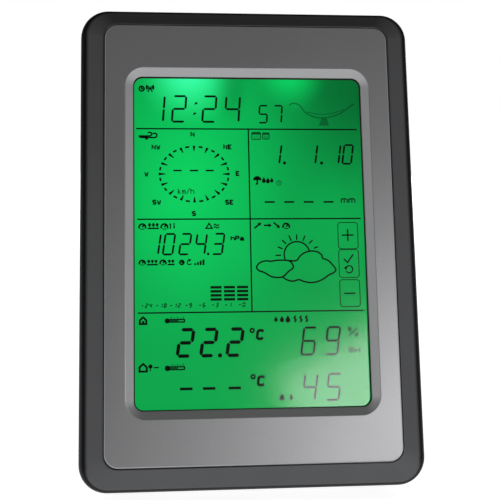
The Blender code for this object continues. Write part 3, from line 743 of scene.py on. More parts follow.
def draw_date_and_rain(paint, faint):
    ink = Ink()
    ink.row("1110", (9.1, 25.2, 35.6, 41.3), 33.8, 4.8, 9.4, 0.85)
    for x in (15.9, 32.5):
        ink.dot((x, 34.5), 0.72)
    ink.dashes(16.9, (6.7, 15.3, 24.0, 32.8), 4.4, 0.75)
    ink.umbrella(3.6, 26.7, 3.4)
    for x, z, size in ((6.5, 26.8, 2.7), (8.3, 26.6, 2.7), (10.0, 26.8, 2.3)):
        ink.drop(x, z, size)
    show("lcd_date_and_rain", ink, paint)
    ink = Ink()
    ink.calendar(1.6, 45.2, 3.9, 3.2)
    ink.calendar(6.4, 45.4, 2.9, 2.8)
    ink.clock(13.2, 25.5, 1.2, 0.3)
    ink.text("mm", 40.8, 16.5, 19.2, 2.6, 3.4, 0.66)
    show("lcd_date_and_rain_signs", ink, faint)


def draw_pressure(paint, thin):
    ink = Ink()
    ink.gauge(-46.8, 6.4, 1.4)
    ink.pressing(-44.5, -39.6, 6.4, 2.7, 3)
    ink.gauge(-37.3, 6.4, 1.4)
    ink.arrow((-34.7, 5.1), (-34.7, 7.8), 0.5)
    ink.arrow((-33.1, 7.8), (-33.1, 5.1), 0.5)
    ink.row("10243", (-44.8, -38.6, -31.6, -24.8, -17.2), -6.5, 5.0, 9.8, 0.85)
    ink.dot((-18.5, -6.0), 0.6, 10)
    ink.gauge(-46.9, -9.4, 1.25)
    ink.pressing(-44.9, -40.2, -9.6, 2.4, 3)
    ink.gauge(-38.0, -9.4, 1.25)
    ink.pressing(-36.0, -33.0, -9.6, 2.4, 2)
    ink.clock(-29.9, -9.6, 1.25)
    ink.stroke(arc((-26.6, -9.6), 1.0, 60, 330, 8), 0.45)
    ink.area([(-27.3, -8.0), (-25.7, -8.3), (-26.6, -9.4)])
    ink.bars(-24.6, -10.8, (0.8, 1.3, 1.9, 2.4), 0.85, 1.2)
    show("lcd_pressure", ink, paint)
    ink = Ink()
    ink.stroke([(-19.3, 5.3), (-17.9, 7.5), (-16.6, 5.3)], 0.6, True)
    for z in (5.4, 6.5):
        wave = [(-15.9, z + 0.1), (-15.2, z + 0.6), (-14.4, z), (-13.5, z + 0.5)]
        ink.stroke(smooth_line(wave, 4), 0.5)
    ink.text("hPa", -8.4, 0.0, 1.7, 1.4, 2.0, 0.58)
    for column in (-17.7, -11.9, -6.2):
        for row in range(4):
            ink.box((column, -21.1 - 1.75 * row), (column + 4.8, -20.0 - 1.75 * row))
    hours = (("24", -46.0), ("18", -39.8), ("12", -33.8), ("9", -27.2))
    hours += (("6", -21.4), ("3", -15.8), ("1", -10.2), ("0", -4.2))
    for text, left in hours:
        ink.row(text, (left, left + 1.75), -29.3, 1.4, 2.2, 0.5)
        ink.bar((left - 1.3, -28.2), (left - 0.4, -28.2), 0.5)
    show("lcd_pressure_history", ink, thin)


def draw_forecast(paint, thin):
    ink = Ink()
    for start, end in (((1.9, 5.2), (5.0, 7.8)), ((6.1, 6.5), (9.6, 6.5)), ((10.4, 7.8), (13.2, 5.2))):
        ink.arrow(start, end, 0.7, 1.5)
    ink.gauge(15.9, 6.4, 1.4)
    left_cloud = [(2.5, -11.9), (3.8, -10.1), (6.4, -9.2), (8.8, -9.4), (11.6, -9.0), (16.7, -9.2)]
    left_cloud += [(18.5, -11.4), (18.3, -12.6), (16.6, -13.8), (13.9, -16.2), (11.0, -16.5)]
    left_cloud += [(8.6, -16.0), (5.8, -14.3), (3.4, -13.4)]
    ink.stroke(smooth_line(left_cloud, 4, True), 0.68, True)
    right_cloud = [(16.9, -9.1), (19.9, -9.2), (21.8, -7.1), (24.0, -5.6), (27.0, -5.0), (29.6, -5.5)]
    right_cloud += [(31.3, -6.9), (31.6, -8.2), (34.0, -9.2), (35.9, -11.2), (37.3, -13.3), (36.2, -14.7)]
    right_cloud += [(34.4, -15.5), (31.7, -17.3), (29.0, -18.5), (26.0, -18.9), (23.1, -18.4)]
    right_cloud += [(20.9, -17.6), (18.2, -18.2), (15.6, -17.6), (13.9, -16.4)]
    ink.stroke(smooth_line(right_cloud, 4), 0.68)
    sun = Vector((20.4, -6.5))
    ink.stroke(arc(sun, 5.7, 201, 17, 16), 0.65)
    show("lcd_forecast", ink, paint)
    ink = Ink()
    rays = ((182, 7.0, 9.6), (158, 6.7, 9.2), (135, 6.6, 9.2), (112, 6.5, 9.2))
    rays += ((90, 6.4, 8.9), (66, 6.6, 9.2), (42, 7.1, 9.5), (20, 7.9, 10.0))
    for angle, near, far in rays:
        way = Vector((math.cos(math.radians(angle)), math.sin(math.radians(angle))))
        ink.bar(sun + way * near, sun + way * far, 0.6, 0.2)
    show("lcd_sun_rays", ink, thin)


def draw_keys(paint, thin, faint):
    ink = Ink()
    for low, high in ((-4.1, 7.6), (-16.8, -4.5), (-29.6, -17.8)):
        ink.frame((38.8, low), (47.6, high), 1.2, 0.42)
    show("lcd_key_outlines", ink, faint)
    ink = Ink()
    ink.box((40.5, 1.65), (45.7, 2.3))
    ink.box((42.78, -0.65), (43.42, 4.6))
    ink.box((40.6, -24.1), (45.6, -23.45))
    show("lcd_plus_and_minus", ink, paint)
    ink = Ink()
    ink.stroke([(41.0, -8.6), (42.6, -10.2), (45.2, -6.6)], 0.65)
    ink.stroke(arc((43.2, -13.2), 1.6, 150, -150, 10), 0.55)
    ink.area([(40.9, -12.2), (42.7, -12.0), (41.7, -13.7)])
    show("lcd_middle_key_signs", ink, thin)


def draw_climate(paint, thin):
    ink = Ink()
    ink.house(-48.3, -36.0, 2.9)
    ink.dot((-46.6, -35.2), 0.55)
    ink.thermometer(-37.5, -28.9, -34.5, 2.9)
    ink.house(-48.5, -56.1, 3.2)
    ink.dot((-43.6, -54.0), 0.9)
    ink.box((-43.8, -56.1), (-43.4, -54.4))
    ink.arrow((-42.2, -54.5), (-39.9, -54.5), 0.5)
    ink.thermometer(-37.6, -29.1, -54.6, 3.2)
    for x, size in ((10.4, 2.4), (13.0, 2.8), (15.6, 3.2)):
        ink.drop(x, -34.6, size)
    for x in (18.4, 20.9, 23.4):
        ink.stroke(smooth_line([(x, -36.0), (x + 0.7, -35.1), (x, -34.2), (x + 0.7, -33.3)], 4), 0.75)
    ink.bell(12.2, -69.6, 3.1)
    ink.arrow((16.2, -66.8), (16.2, -69.7), 0.85, 1.7)
    show("lcd_climate_signs", ink, paint)
    ink = Ink()
    ink.row("222", (-33.1, -23.1, -11.9), -50.6, 7.0, 12.7, 1.5)
    ink.dot((-14.0, -49.8), 0.95)
    ink.dashes(-63.7, (-31.2, -21.5, -10.6), 5.3, 1.15)
    for low in (-43.2, -62.9):
        ink.stroke(arc((0.0, low + 3.8), 0.8, 0, 330, 11), 0.75, True)
        ink.text("C", 2.0, low + 0.2, low + 3.8, 2.5, 3.0, 1.15, 0.12)
    show("lcd_temperature", ink, paint)
    ink = Ink()
    ink.row("69", (20.4, 30.75), -50.5, 6.3, 12.5, 0.95)
    ink.row("45", (20.3, 30.65), -70.0, 6.3, 12.0, 0.95)
    show("lcd_humidity", ink, paint)
    ink = Ink()
    ink.text("%", 42.0, -42.3, -38.8, 3.8, 4.0, 0.55)
    ink.text("RH", 42.0, -49.6, -47.3, 1.8, 2.7, 0.5)
    show("lcd_humidity_units", ink, thin)


# ---------------------------------------------------------------- finishes


def case_paint():
    """Satin gunmetal on the sloping face. Round the edge and behind it, painted shade: near-black and almost
    without reflection, where the rounded edge turns away from the light.
    """
    paint = Paint("case_black", (0.05, 0.05, 0.05), 0.4, 0.85, 0.06)
    _, depth, height = paint.axes(paint.spot)
    # Painted shade: from 2.7 to 3.4 mm behind the face the colour turns near-black and loses its metallic
    # reflection, standing in for the shade on the rounded edge. Near the bottom, where the floor lights the edge,
    # it starts up to 1.2 mm further back.
    bottom_shade_setback = paint.spread(height, -0.1055, -0.095, 0.0012, 0.0)
    edge = paint.spread(paint.sum("SUBTRACT", depth, bottom_shade_setback), 0.0027, 0.0034, 0.0, 1.0, "SMOOTHSTEP")
    cloud = paint.noise(40.0, 2.0)
    face = paint.mix(cloud, (0.084, 0.085, 0.088), (0.098, 0.099, 0.102))
    # The painted shade: near-black colour and no metallic reflection where the edge mask is 1.
    paint.set("Base Color", paint.mix(edge, face, (0.0045, 0.0045, 0.005)))
    paint.set("Metallic", paint.spread(edge, 0.0, 1.0, 0.9, 0.0))
    grain = paint.noise(2600.0, 2.0, 0.5)
    satin = paint.spread(edge, 0.0, 1.0, 0.36, 0.5)
    paint.set("Roughness", paint.sum("ADD", satin, paint.spread(grain, 0.2, 0.8, -0.04, 0.04)))
    paint.bump(grain, 0.06, 0.0001)
    return paint


def silver_paint():
    """Metallic paint: fine flakes, and a slow unevenness in its gloss."""
    paint = Paint("silver_paint", (0.35, 0.35, 0.36), 0.42, 0.75, 0.5)
    flakes = paint.node("TexVoronoi", {"Vector": paint.spot, "Scale": 5200.0})
    tone = paint.spread(flakes, 0.0, 0.8, 0.0, 1.0)
    paint.set("Base Color", paint.mix(tone, (0.31, 0.31, 0.318), (0.36, 0.36, 0.368)))
    cloud = paint.noise(18.0, 2.0)
    fine = paint.noise(900.0, 2.0)
    both = paint.sum("ADD", paint.sum("MULTIPLY", cloud, 0.05), paint.sum("MULTIPLY", fine, 0.05))
    paint.set("Roughness", paint.sum("ADD", both, 0.30))
    paint.bump(fine, 0.05, 0.00008)
    return paint


def lcd_paint():
    """The display's green glow, strongest under its two lamps at the top and fading to the right."""
    paint = Paint("lcd_green", (0.002, 0.03, 0.01), 0.5, 0.0, 0.0)
    inputs = {"Vector": paint.spot, "Location": case_origin, "Rotation": (-LEAN, 0, 0)}
    spot = paint.node("Mapping", inputs, vector_type="TEXTURE")
    x, _, z = paint.axes(spot)

    def glow(centre_x, centre_z, wide, high, most):
        """most at the centre, falling smoothly to 0 on an ellipse. Sizes are in millimetres."""
        dx = paint.sum("DIVIDE", paint.sum("SUBTRACT", x, centre_x * MM), wide * MM)
        dz = paint.sum("DIVIDE", paint.sum("SUBTRACT", z, (FACE_MIDDLE + centre_z) * MM), high * MM)
        far = paint.sum("ADD", paint.sum("MULTIPLY", dx, dx), paint.sum("MULTIPLY", dz, dz))
        return paint.spread(paint.sum("SQRT", far, 0.0), 0.0, 1.0, most, 0.0, "SMOOTHSTEP")

    lamp = glow(-26, 80, 26, 32, 1.0)
    level = paint.spread(paint.noise(35.0, 1.0, place=spot), 0.3, 0.7, 0.375, 0.405)
    for patch in (
        glow(-27, 22, 50, 78, 0.26),
        glow(46, 66, 46, 62, -0.25),
        glow(-8, 72, 10, 26, -0.14),
        glow(20, 78, 18, 22, 0.42),
        glow(36, -32, 40, 40, -0.05),
        paint.sum("MULTIPLY", lamp, 0.7),
    ):
        level = paint.sum("ADD", level, patch)
    colour = paint.mix(lamp, (0.004, 1.0, 0.185), (0.045, 1.0, 0.42))
    paint.set("Emission Color", paint.node("VectorMath", {0: colour, "Scale": level}, operation="SCALE"))
    paint.set("Emission Strength", 1.0)
    return paint


def glass_paint():
    """The touch film: clear, with a faint satin sheen. Its outer face reflects for both of its faces."""
    paint = Paint("touch_glass", (0.9, 0.95, 0.92), 0.16)
    clear = paint.nodes.new("ShaderNodeBsdfTransparent")
    gloss = paint.nodes.new("ShaderNodeBsdfGlossy")
    gloss.inputs["Roughness"].default_value = GLASS_ROUGHNESS
    front = paint.sum("SUBTRACT", 1.0, paint.node("NewGeometry", {}, "Backfacing"))
    share = paint.sum("MULTIPLY", paint.node("Fresnel", {"IOR": 1.5}), front)
    share = paint.sum("MULTIPLY", share, 2.0)
    blend = paint.nodes.new("ShaderNodeMixShader")
    paint.links.new(share, blend.inputs[0])
    paint.links.new(clear.outputs[0], blend.inputs[1])
    paint.links.new(gloss.outputs[0], blend.inputs[2])
    paint.links.new(blend.outputs[0], paint.nodes["Material Output"].inputs["Surface"])
    return paint


def plain_paints():
    """Finishes for what lies inside the case, each with a little of its own texture."""
    looks = {
        "back_black": ((0.016, 0.016, 0.017), 0.50, 0.0),
        "seal_foam": ((0.006, 0.006, 0.006), 0.95, 0.0),
        "diffuser": ((0.75, 0.90, 0.78), 0.30, 0.0),
        "led_green": ((0.35, 0.90, 0.45), 0.20, 0.0),
        "white_plastic": ((0.80, 0.80, 0.78), 0.50, 0.0),
        "chip_black": ((0.012, 0.012, 0.013), 0.45, 0.0),
        "steel": ((0.62, 0.62, 0.64), 0.25, 1.0),
        "lead_red": ((0.50, 0.02, 0.02), 0.40, 0.0),
        "lead_black": ((0.015, 0.015, 0.015), 0.40, 0.0),
        "lead_white": ((0.70, 0.70, 0.68), 0.40, 0.0),
        "rubber_black": ((0.012, 0.012, 0.012), 0.80, 0.0),
    }
    made = {}
    for name, (colour, roughness, metallic) in looks.items():
        paint = Paint(name, colour, roughness, metallic)
        grain = paint.noise(1500.0, 3.0)
        dark = tuple(part * 0.75 for part in colour)
        paint.set("Base Color", paint.mix(paint.noise(90.0), dark, colour))
        paint.set("Roughness", paint.spread(grain, 0.2, 0.8, roughness - 0.08, roughness + 0.08))
        paint.bump(grain, 0.3, 0.0001)
        made[name] = paint
    return made


def cell_paint():
    """A wrapped cell, drawn along x: a pale band round its positive end, and bare steel at both ends."""
    paint = Paint("cell_wrap", (0.05, 0.07, 0.12), 0.25, 0.1)
    along = paint.axes(paint.spot)[0]
    band = paint.sum("GREATER_THAN", along, 0.0145)
    from_middle = paint.sum("ABSOLUTE", paint.sum("SUBTRACT", along, 0.0022), 0.0)
    bare = paint.sum("GREATER_THAN", from_middle, 0.0243)
    wear = paint.noise(260.0)
    wrap = paint.mix(band, (0.012, 0.018, 0.045), (0.42, 0.27, 0.07))
    paint.set("Base Color", paint.mix(bare, wrap, (0.62, 0.62, 0.64)))
    paint.set("Metallic", paint.spread(bare, 0.0, 1.0, 0.3, 1.0))
    paint.set("Roughness", paint.spread(wear, 0.2, 0.8, 0.2, 0.34))
    return paint


def board_paint():
    """Green solder mask over square-cornered tracks."""
    paint = Paint("board_green", (0.01, 0.13, 0.05), 0.35)
    far = paint.node("TexVoronoi", {"Vector": paint.spot, "Scale": 150.0}, distance="CHEBYCHEV")
    track = paint.spread(paint.sum("PINGPONG", far, 0.12), 0.05, 0.06, 0.0, 1.0)
    paint.set("Base Color", paint.mix(track, (0.006, 0.10, 0.035), (0.025, 0.21, 0.085)))
    paint.set("Roughness", paint.spread(paint.noise(900.0), 0.2, 0.8, 0.28, 0.42))
    paint.bump(track, 0.4, 0.00004)
    return paint


def striped_paint(name, colours, pitch, roughness, metallic=0.0):
    """Fine lines side by side, such as a ribbon's tracks or a coil's turns. pitch is in metres."""
    paint = Paint(name, colours[0], roughness, metallic)
    inputs = {"Vector": paint.spot, "Scale": math.pi / (10 * pitch)}
    line = paint.node("TexWave", inputs, 1, bands_direction="X")
    paint.set("Base Color", paint.mix(paint.spread(line, 0.35, 0.65, 0.0, 1.0), *colours))
    paint.set("Roughness", paint.spread(paint.noise(700.0), 0.2, 0.8, roughness - 0.05, roughness + 0.05))
    paint.bump(line, 0.3, 0.00008)
    return paint


def ink_paint(name, colour, cover):
    paint = Paint(name, colour, 0.6, 0.0, 0.0)
    tone = paint.noise(400.0, 1.0)
    paint.set("Base Color", paint.mix(tone, colour, tuple(part * 1.5 for part in colour)))
    paint.set("Alpha", cover)
    return paint


# ---------------------------------------------------------------- the front


def ring(y, outline, inset=0.0):
    width, height, radius = outline
    return (y, width - 2 * inset, height - 2 * inset, max(radius - inset, 0.3))


def rounded_step(y, outline, radius, steps=4):
    """Sections that turn from the outline's side to a front face at y, round an edge."""
    turns = quarter(steps)
    return [ring(y + radius * (1 - sine), outline, radius * (1 - cosine)) for sine, cosine in turns]


def case_rings(profile):
    """The case's outline, moved in by each inset of the (inset, y) profile."""
    return [(y, CASE[0] - 2 * inset, CASE[1] - 2 * inset, CASE_RADIUS - 0.7 * inset) for inset, y in profile]


def edge_profile():
    """(inset, y) along the frame's outside, from its slope round to the side, and how wide the slope is."""
    edge_x, edge_y = FRONT_EDGE
    start = math.atan(math.tan(FRONT_SLOPE) * edge_x / edge_y)
    widest = (CASE[0] - PLATE[0] - 2 * GAP - 1.0) / 2
    rounding = []
    for step in range(15):
        angle = start + (math.pi / 2 - start) * step / 14
        rounding.append((edge_x * (1 - math.sin(angle)), FRONT_EDGE_END - edge_y * math.cos(angle)))
    first_inset, first_y = rounding[0]
    slope = []
    for step in range(6):
        inset = widest + (first_inset - widest) * step / 6
        slope.append((inset, first_y - (inset - first_inset) * math.tan(FRONT_SLOPE)))
    return slope + rounding, widest


def boss(radius, end, edge):
    """A screw boss behind the front wall, bevelled at its end."""
    return [(3.5, radius), (end - edge, radius), (end, radius - edge)]


def make_front_case(paint):
    """The frame round the plate: a shallow slope, then a rounded edge to the side."""
    profile, widest = edge_profile()
    seat = (PLATE[0] + 2 * GAP, PLATE[1] + 2 * GAP, PLATE[2] + GAP)
    narrower = (CASE[1] - seat[1] - 1.0) / 2 / widest
    top = profile[0][1]
    lip = (seat[0] + 0.6, seat[1] + 0.6, seat[2] + 0.3)
    face = [ring(FRONT_WALL[1], OPENING), ring(FRONT_WALL[0], OPENING), ring(FRONT_WALL[0], seat)]
    for sine, cosine in quarter(4):
        grown = [a + (b - a) * (1 - cosine) for a, b in zip(seat, lip)]
        face.append((top + 0.3 * (1 - sine), *grown))
    rings = [[(x, y, z) for x, z in rounded_outline(*outline)] for y, *outline in face]
    for inset, y in profile:
        outline = (CASE[0] - 2 * inset, CASE[1] - 2 * inset * narrower, CASE_RADIUS - 0.55 * inset)
        drop = FACE_RISE * (1 - inset / widest)
        rings.append([(x, y, z - drop) for x, z in rounded_outline(*outline)])
    case = [(PARTING - 0.3, *CASE, CASE_RADIUS), (PARTING, CASE[0] - 0.4, CASE[1] - 0.4, CASE_RADIUS - 0.2)]
    hollow = [(WALL, PARTING)]
    for sine, cosine in reversed(list(quarter(8))):
        y = HOLLOW_TURN - (HOLLOW_TURN - FRONT_WALL[1]) * cosine
        hollow.append((WALL + HOLLOW_EDGE * (1 - sine), y))
    case += case_rings(hollow)
    rings += [[(x, y, z - FACE_RISE) for x, z in rounded_outline(*outline)] for y, *outline in case]
    groups = (CASE_SCREWS, HOLDER_SCREWS, BOARD_HOLES)
    case_screws, holder_screws, board_holes = ([(x, z - FACE_MIDDLE) for x, z in group] for group in groups)
    end = PARTING - GAP
    body = carve(
        skin(rings, around=True),
        ("UNION", pegs(case_screws, boss(3.7, end, 0.4))),
        ("UNION", pegs(holder_screws, boss(3.2, 9.7, 0.3))),
        ("UNION", pegs(board_holes, boss(2.6, BOARD_FRONT - GAP, 0.3))),
        ("DIFFERENCE", pegs(case_screws, [(8.0, 1.6), (PARTING + 1, 1.6)])),
        ("DIFFERENCE", pegs(holder_screws, [(5.4, 1.3), (11.0, 1.3)])),
        ("DIFFERENCE", pegs(board_holes, [(9.0, 1.3), (15.0, 1.3)])),
    )
    piece("front_case", body, paint, stands_for=["front_frame"], place=FRONT_PLACE)


def make_front_plate(paint):
    """The silver plate, with a rounded rim and a soft-edged chamfer down to the display."""
    sections = rounded_step(0.0, PLATE, 0.6)
    run = ((BEZEL[0] - WINDOW[0]) / 2, (BEZEL[1] - WINDOW[1]) / 2, BEZEL[2] - WINDOW[2])

    def on_chamfer(share):
        return tuple(a - 2 * b * share for a, b in zip(BEZEL[:2], run)) + (BEZEL[2] - run[2] * share,)

    for share, sink in ((-0.10, 0.0), (-0.03, 0.006), (0.03, 0.028), (0.10, 0.10)):
        sections.append((sink * WINDOW_DEPTH, *on_chamfer(share)))
    for share, sink in ((0.90, 0.90), (0.96, 0.965), (0.99, 1.02), (1.0, 1.10)):
        sections.append((sink * WINDOW_DEPTH, *on_chamfer(share)))
    funnel = (OPENING[0] - 2 * GAP, OPENING[1] - 2 * GAP, OPENING[2] - GAP)
    sections.append(ring(FUNNEL_BACK, WINDOW))
    sections.append(ring(FUNNEL_BACK, funnel))
    sections.append(ring(PLATE_THICK, funnel))
    sections.append(ring(PLATE_THICK, PLATE))
    body = loft(sections, around=True)
    piece("front_plate_shell", body, paint, stands_for=["front_plate"], place=FRONT_PLACE)


# ---------------------------------------------------------------- the back

CELL_RADIUS = 7.15
CELL_LENGTH = 50.0
CELL_Y = 22.2
BAY_Z = 111.0
CELL_PITCH = 15.2
BAY_HALF = (28.6, 23.5)
BAY_FLOOR = 14.6
DOOR_HALF_X = 33.0
DOOR_TOP = 138.0
TONGUE = (7.0, 143.8)
STAND_LENGTH = 56.3
STAND_HALF_X = 34.0
STAND_PIN_X = 38.2
RECESS_FLOOR = 25.6
HANGER_Z = 180.0
VENT_X = -53.0
VENT_Z = 28.75
VENT_PITCH = 3.0
VENT_COUNT = 6
FOOT_X = (42.0, 60.0)
FOOT_Y = (19.5, 25.5)
SOUNDER = (36.0, 174.0)
CELL_TIP = 27.6
SOFT = 0.45
BEYOND = CASE_DEPTH + 2  # cutters end here, clear of the back
INTO_BACK = 30.5  # walls and posts end here, inside the back's thickness


def case_spot(x, y, z):
    return CASE_PLACE @ Matrix.Translation(Vector((x, y, z)) * MM)


STAND_PLACE = case_spot(0, *STAND_HINGE) @ Matrix.Rotation(math.radians(-90), 4, "X")
DOOR_PLACE = case_spot(0, *DOOR_HINGE)


def pocket(low, high, floor, radius):
    """A cutter for a recess in the back, with a soft floor edge and a soft rim. low and high are (x, z)."""
    width, height = high[0] - low[0], high[1] - low[1]
    rim = CASE_DEPTH - SOFT
    sections = []
    edges = [(floor, -0.5), (floor + 0.15, -0.18), (floor + 0.5, 0.0), (rim, 0.0), (rim + 0.15, 0.05)]
    edges += [(rim + 0.35, 0.2), (CASE_DEPTH + 0.05, 0.55), (BEYOND, 0.55)]
    for y, grow in edges:
        sections.append((y, width + 2 * grow, height + 2 * grow, radius + grow))
    middle = ((low[0] + high[0]) / 2, (low[1] + high[1]) / 2)
    return moved(loft(sections, steps=4), middle[0], 0, middle[1])


def flare(edge, floor=28.0, rim=31.55):
    """(y, grow) for a cutter through the back that is wider by edge at the outside."""
    return [(floor, 0.0), (rim, 0.0), (CASE_DEPTH + 0.05, edge), (BEYOND, edge)]


def bore(radius, *sizes):
    return [(y, radius + grow) for y, grow in flare(*sizes)]


def slot(width, height, radius, steps, *sizes):
    sections = [(y, width + 2 * grow, height + 2 * grow, radius + grow) for y, grow in flare(*sizes)]
    return loft(sections, steps=steps)


def back_edge(inward, along, inset, end, steps):
    """(inset, y) round a back edge, from the side to the back."""
    turns = quarter(steps)
    return [(inset + inward * (1 - cosine), end - along * (1 - sine)) for sine, cosine in turns]


def sounder_holes(radius, count):
    for index in range(count):
        angle = 2 * math.pi * index / count
        yield SOUNDER[0] + radius * math.cos(angle), SOUNDER[1] + radius * math.sin(angle)


def make_rear_case(paint):
    start = PARTING + GAP
    outside = [(0.35, start), (0.1, start + 0.1), (0.0, start + 0.35)]
    outside += back_edge(*BACK_EDGE, 0.0, CASE_DEPTH, 14)
    inside = [(WALL, PARTING - 1), *back_edge(6.0, 8.0, WALL, CASE_DEPTH - WALL, 6)]
    recess_x = STAND_HALF_X + 0.6
    recess_low, recess_high = STAND_HINGE[1] - 1.9, STAND_HINGE[1] + STAND_LENGTH + 1.2
    bay_x, bay_z = BAY_HALF
    wall_x = bay_x + 1.8
    bay_low, bay_high = BAY_Z - bay_z, BAY_Z + bay_z
    seat = DOOR_HINGE[0] - 0.9 - GAP
    edge = DOOR_HALF_X + 0.4
    tongue_x = TONGUE[0] + 0.5
    post = PARTING + 2 * GAP
    steps = [
        ("DIFFERENCE", moved(loft(case_rings(inside), steps=6), z=MIDDLE)),
        ("UNION", pegs(CASE_SCREWS, [(post, 3.4), (post + 0.3, 3.7), (INTO_BACK, 3.7)])),
        ("DIFFERENCE", pegs(CASE_SCREWS, [(PARTING - 1, 1.6), (CASE_DEPTH + 1, 1.6)], 16)),
        ("DIFFERENCE", pegs(CASE_SCREWS, bore(3.2, 0.45, 27.0, 31.6))),
        ("UNION", box((-40.6, 24.0, recess_low - 3.6), (40.6, INTO_BACK, recess_high + 3))),
        ("DIFFERENCE", pocket((-recess_x, recess_low), (recess_x, recess_high), RECESS_FLOOR, 1.0)),
        ("DIFFERENCE", moved(turned([(-38.5, 1.5), (38.5, 1.5)], "X", 24), 0, *STAND_HINGE)),
        ("DIFFERENCE", pocket((-9.0, recess_high - 4), (9.0, recess_high + 2.2), RECESS_FLOOR + 0.8, 2.5)),
        ("UNION", box((-wall_x, BAY_FLOOR - 1.6, bay_low - 1.8), (wall_x, INTO_BACK, bay_high + 1.8))),
        ("UNION", box((-36.0, 27.6, 82.5), (36.0, 30.6, 146.0))),
        ("DIFFERENCE", pocket((-bay_x, bay_low), (bay_x, bay_high), BAY_FLOOR, 1.2)),
        ("DIFFERENCE", pocket((-edge, DOOR_HINGE[1] - 0.9 - GAP), (edge, DOOR_TOP + 0.4), seat, 0.9)),
        ("DIFFERENCE", pocket((-tongue_x, DOOR_TOP - 1), (tongue_x, TONGUE[1] + 0.5), seat, 1.0)),
        ("DIFFERENCE", moved(turned([(-35.2, 0.9), (35.2, 0.9)], "X", 20), 0, *DOOR_HINGE)),
        ("DIFFERENCE", pegs([(0, HANGER_Z)], bore(4.8, 0.5), 40)),
    ]
    for index in range(VENT_COUNT):
        vent = slot(14.0, 1.5, 0.74, 4, 0.35, 28.0, 31.6)
        steps.append(("DIFFERENCE", moved(vent, VENT_X, 0, VENT_Z + VENT_PITCH * index)))
    steps.append(("DIFFERENCE", moved(slot(4.4, 12.0, 2.19, 6, 0.5), z=HANGER_Z + 4.0)))
    steps.append(("DIFFERENCE", pegs([SOUNDER, *sounder_holes(5.0, 6)], bore(0.9, 0.4), 16)))
    steps.append(("DIFFERENCE", pegs(sounder_holes(9.0, 12), bore(0.9, 0.4, 31.4), 16)))
    for side, cell in ((-1, 1), (1, -1)):
        hole = turned([(side * (bay_x - 1), 1.0), (side * (bay_x + 2.8), 1.0)], "X", 16)
        steps.append(("DIFFERENCE", moved(hole, 0, CELL_Y - 2, BAY_Z + cell * CELL_PITCH)))
    body = carve(moved(loft(case_rings(outside)), z=MIDDLE), *steps)
    piece("rear_case", body, paint, stands_for=["rear_cover"])


def flat_bar(outline, half_x, edge):
    """A (y, z) outline along x, with its two ends softened."""
    low = min(z for _, z in outline)
    high = max(z for _, z in outline)
    half = max(y for y, _ in outline)
    middle = (low + high) / 2
    rings = []
    for x, inset in ((-half_x, edge), (-half_x + edge * 0.3, edge * 0.3), (-half_x + edge, 0.0)):
        for_y, for_z = 1 - inset / half, 1 - 2 * inset / (high - low)
        rings.append([(x, y * for_y, middle + (z - middle) * for_z) for y, z in outline])
    rings += [[(-x, y, z) for x, y, z in ring] for ring in reversed(rings)]
    return skin(rings)


def leaf_outline(half, length, edge):
    """A thin leaf's (y, z) section: round at its hinge, soft at its far end."""
    angles = [-math.pi * step / 12 for step in range(13)]
    points = [(half * math.cos(angle), half * math.sin(angle)) for angle in angles]
    bevel = edge * 0.3
    points += [(-half, length - edge), (-half + bevel, length - bevel), (-half + edge, length)]
    points += [(half - edge, length), (half - bevel, length - bevel), (half, length - edge)]
    return points


def make_door(paint):
    """The battery door: ribbed where a finger presses, with a sunk arrow that shows which way it opens."""
    rise = DOOR_TOP - DOOR_HINGE[1]
    tongue = flat_bar(leaf_outline(0.7, 9.4, 0.3), TONGUE[0], 0.3)
    slits = [box((side * 7.7 - 0.5, -2.0, rise - 9), (side * 7.7 + 0.5, 2.0, rise + 1)) for side in (-1, 1)]
    ridges = [moved(rod(6.0, 0.2, 0.45, 0.3, 10), 0, 0.75, rise - 6.4 + 1.5 * index) for index in range(5)]
    arrow = skin([[(x, y, z) for x, z in ((-5.0, 31.0), (5.0, 31.0), (0.0, 38.0))] for y in (0.35, 2.0)])
    body = carve(
        flat_bar(leaf_outline(0.9, rise, 0.35), DOOR_HALF_X, 0.35),
        ("UNION", rod(34.9, 0.3, 0.6, 0.3, 20)),
        ("UNION", moved(tongue, z=TONGUE[1] - DOOR_HINGE[1] - 9.4)),
        ("DIFFERENCE", together(*slits)),
        ("UNION", together(*ridges)),
        ("DIFFERENCE", arrow),
    )
    door = "battery_door"
    piece("battery_lid", body, paint, body=door, stands_for=[door], place=DOOR_PLACE)


def make_leg(paint):
    """The fold-out stand, with a window, finger grooves and a moulded hinge."""
    window = [(-2.0, 37.2, 21.2, 6.6), (-1.45, 37.2, 21.2, 6.6), (-0.9, 36.0, 20.0, 6.0)]
    window += [(-y, width, height, radius) for y, width, height, radius in reversed(window)]
    grooves = [moved(rod(12.0, 0.2, 0.6, 0.5, 12), 0, -1.75, 45.5 + 2.0 * index) for index in range(4)]
    panel = [(-2.0, 55.0, 6.0, 1.5), (-1.15, 55.0, 6.0, 1.5), (-1.1, 54.6, 5.6, 1.3)]
    body = carve(
        soft_slab((2 * STAND_HALF_X, 2 * STAND_LENGTH, 10.0), (-1.5, 1.5), 0.6),
        ("DIFFERENCE", box((-40, -3, -70), (40, 3, 0))),
        ("UNION", rod(STAND_HALF_X, 1.0, 1.5, 0.4, 28)),
        ("UNION", rod(STAND_PIN_X, 0.8, 1.2, 0.4, 24)),
        ("DIFFERENCE", moved(loft(window, steps=6), z=28.0)),
        ("DIFFERENCE", moved(loft(panel, steps=4), z=9.5)),
        ("DIFFERENCE", together(*grooves)),
    )
    piece("stand_leg", body, paint, body="stand", stands_for=["stand"], place=STAND_PLACE)


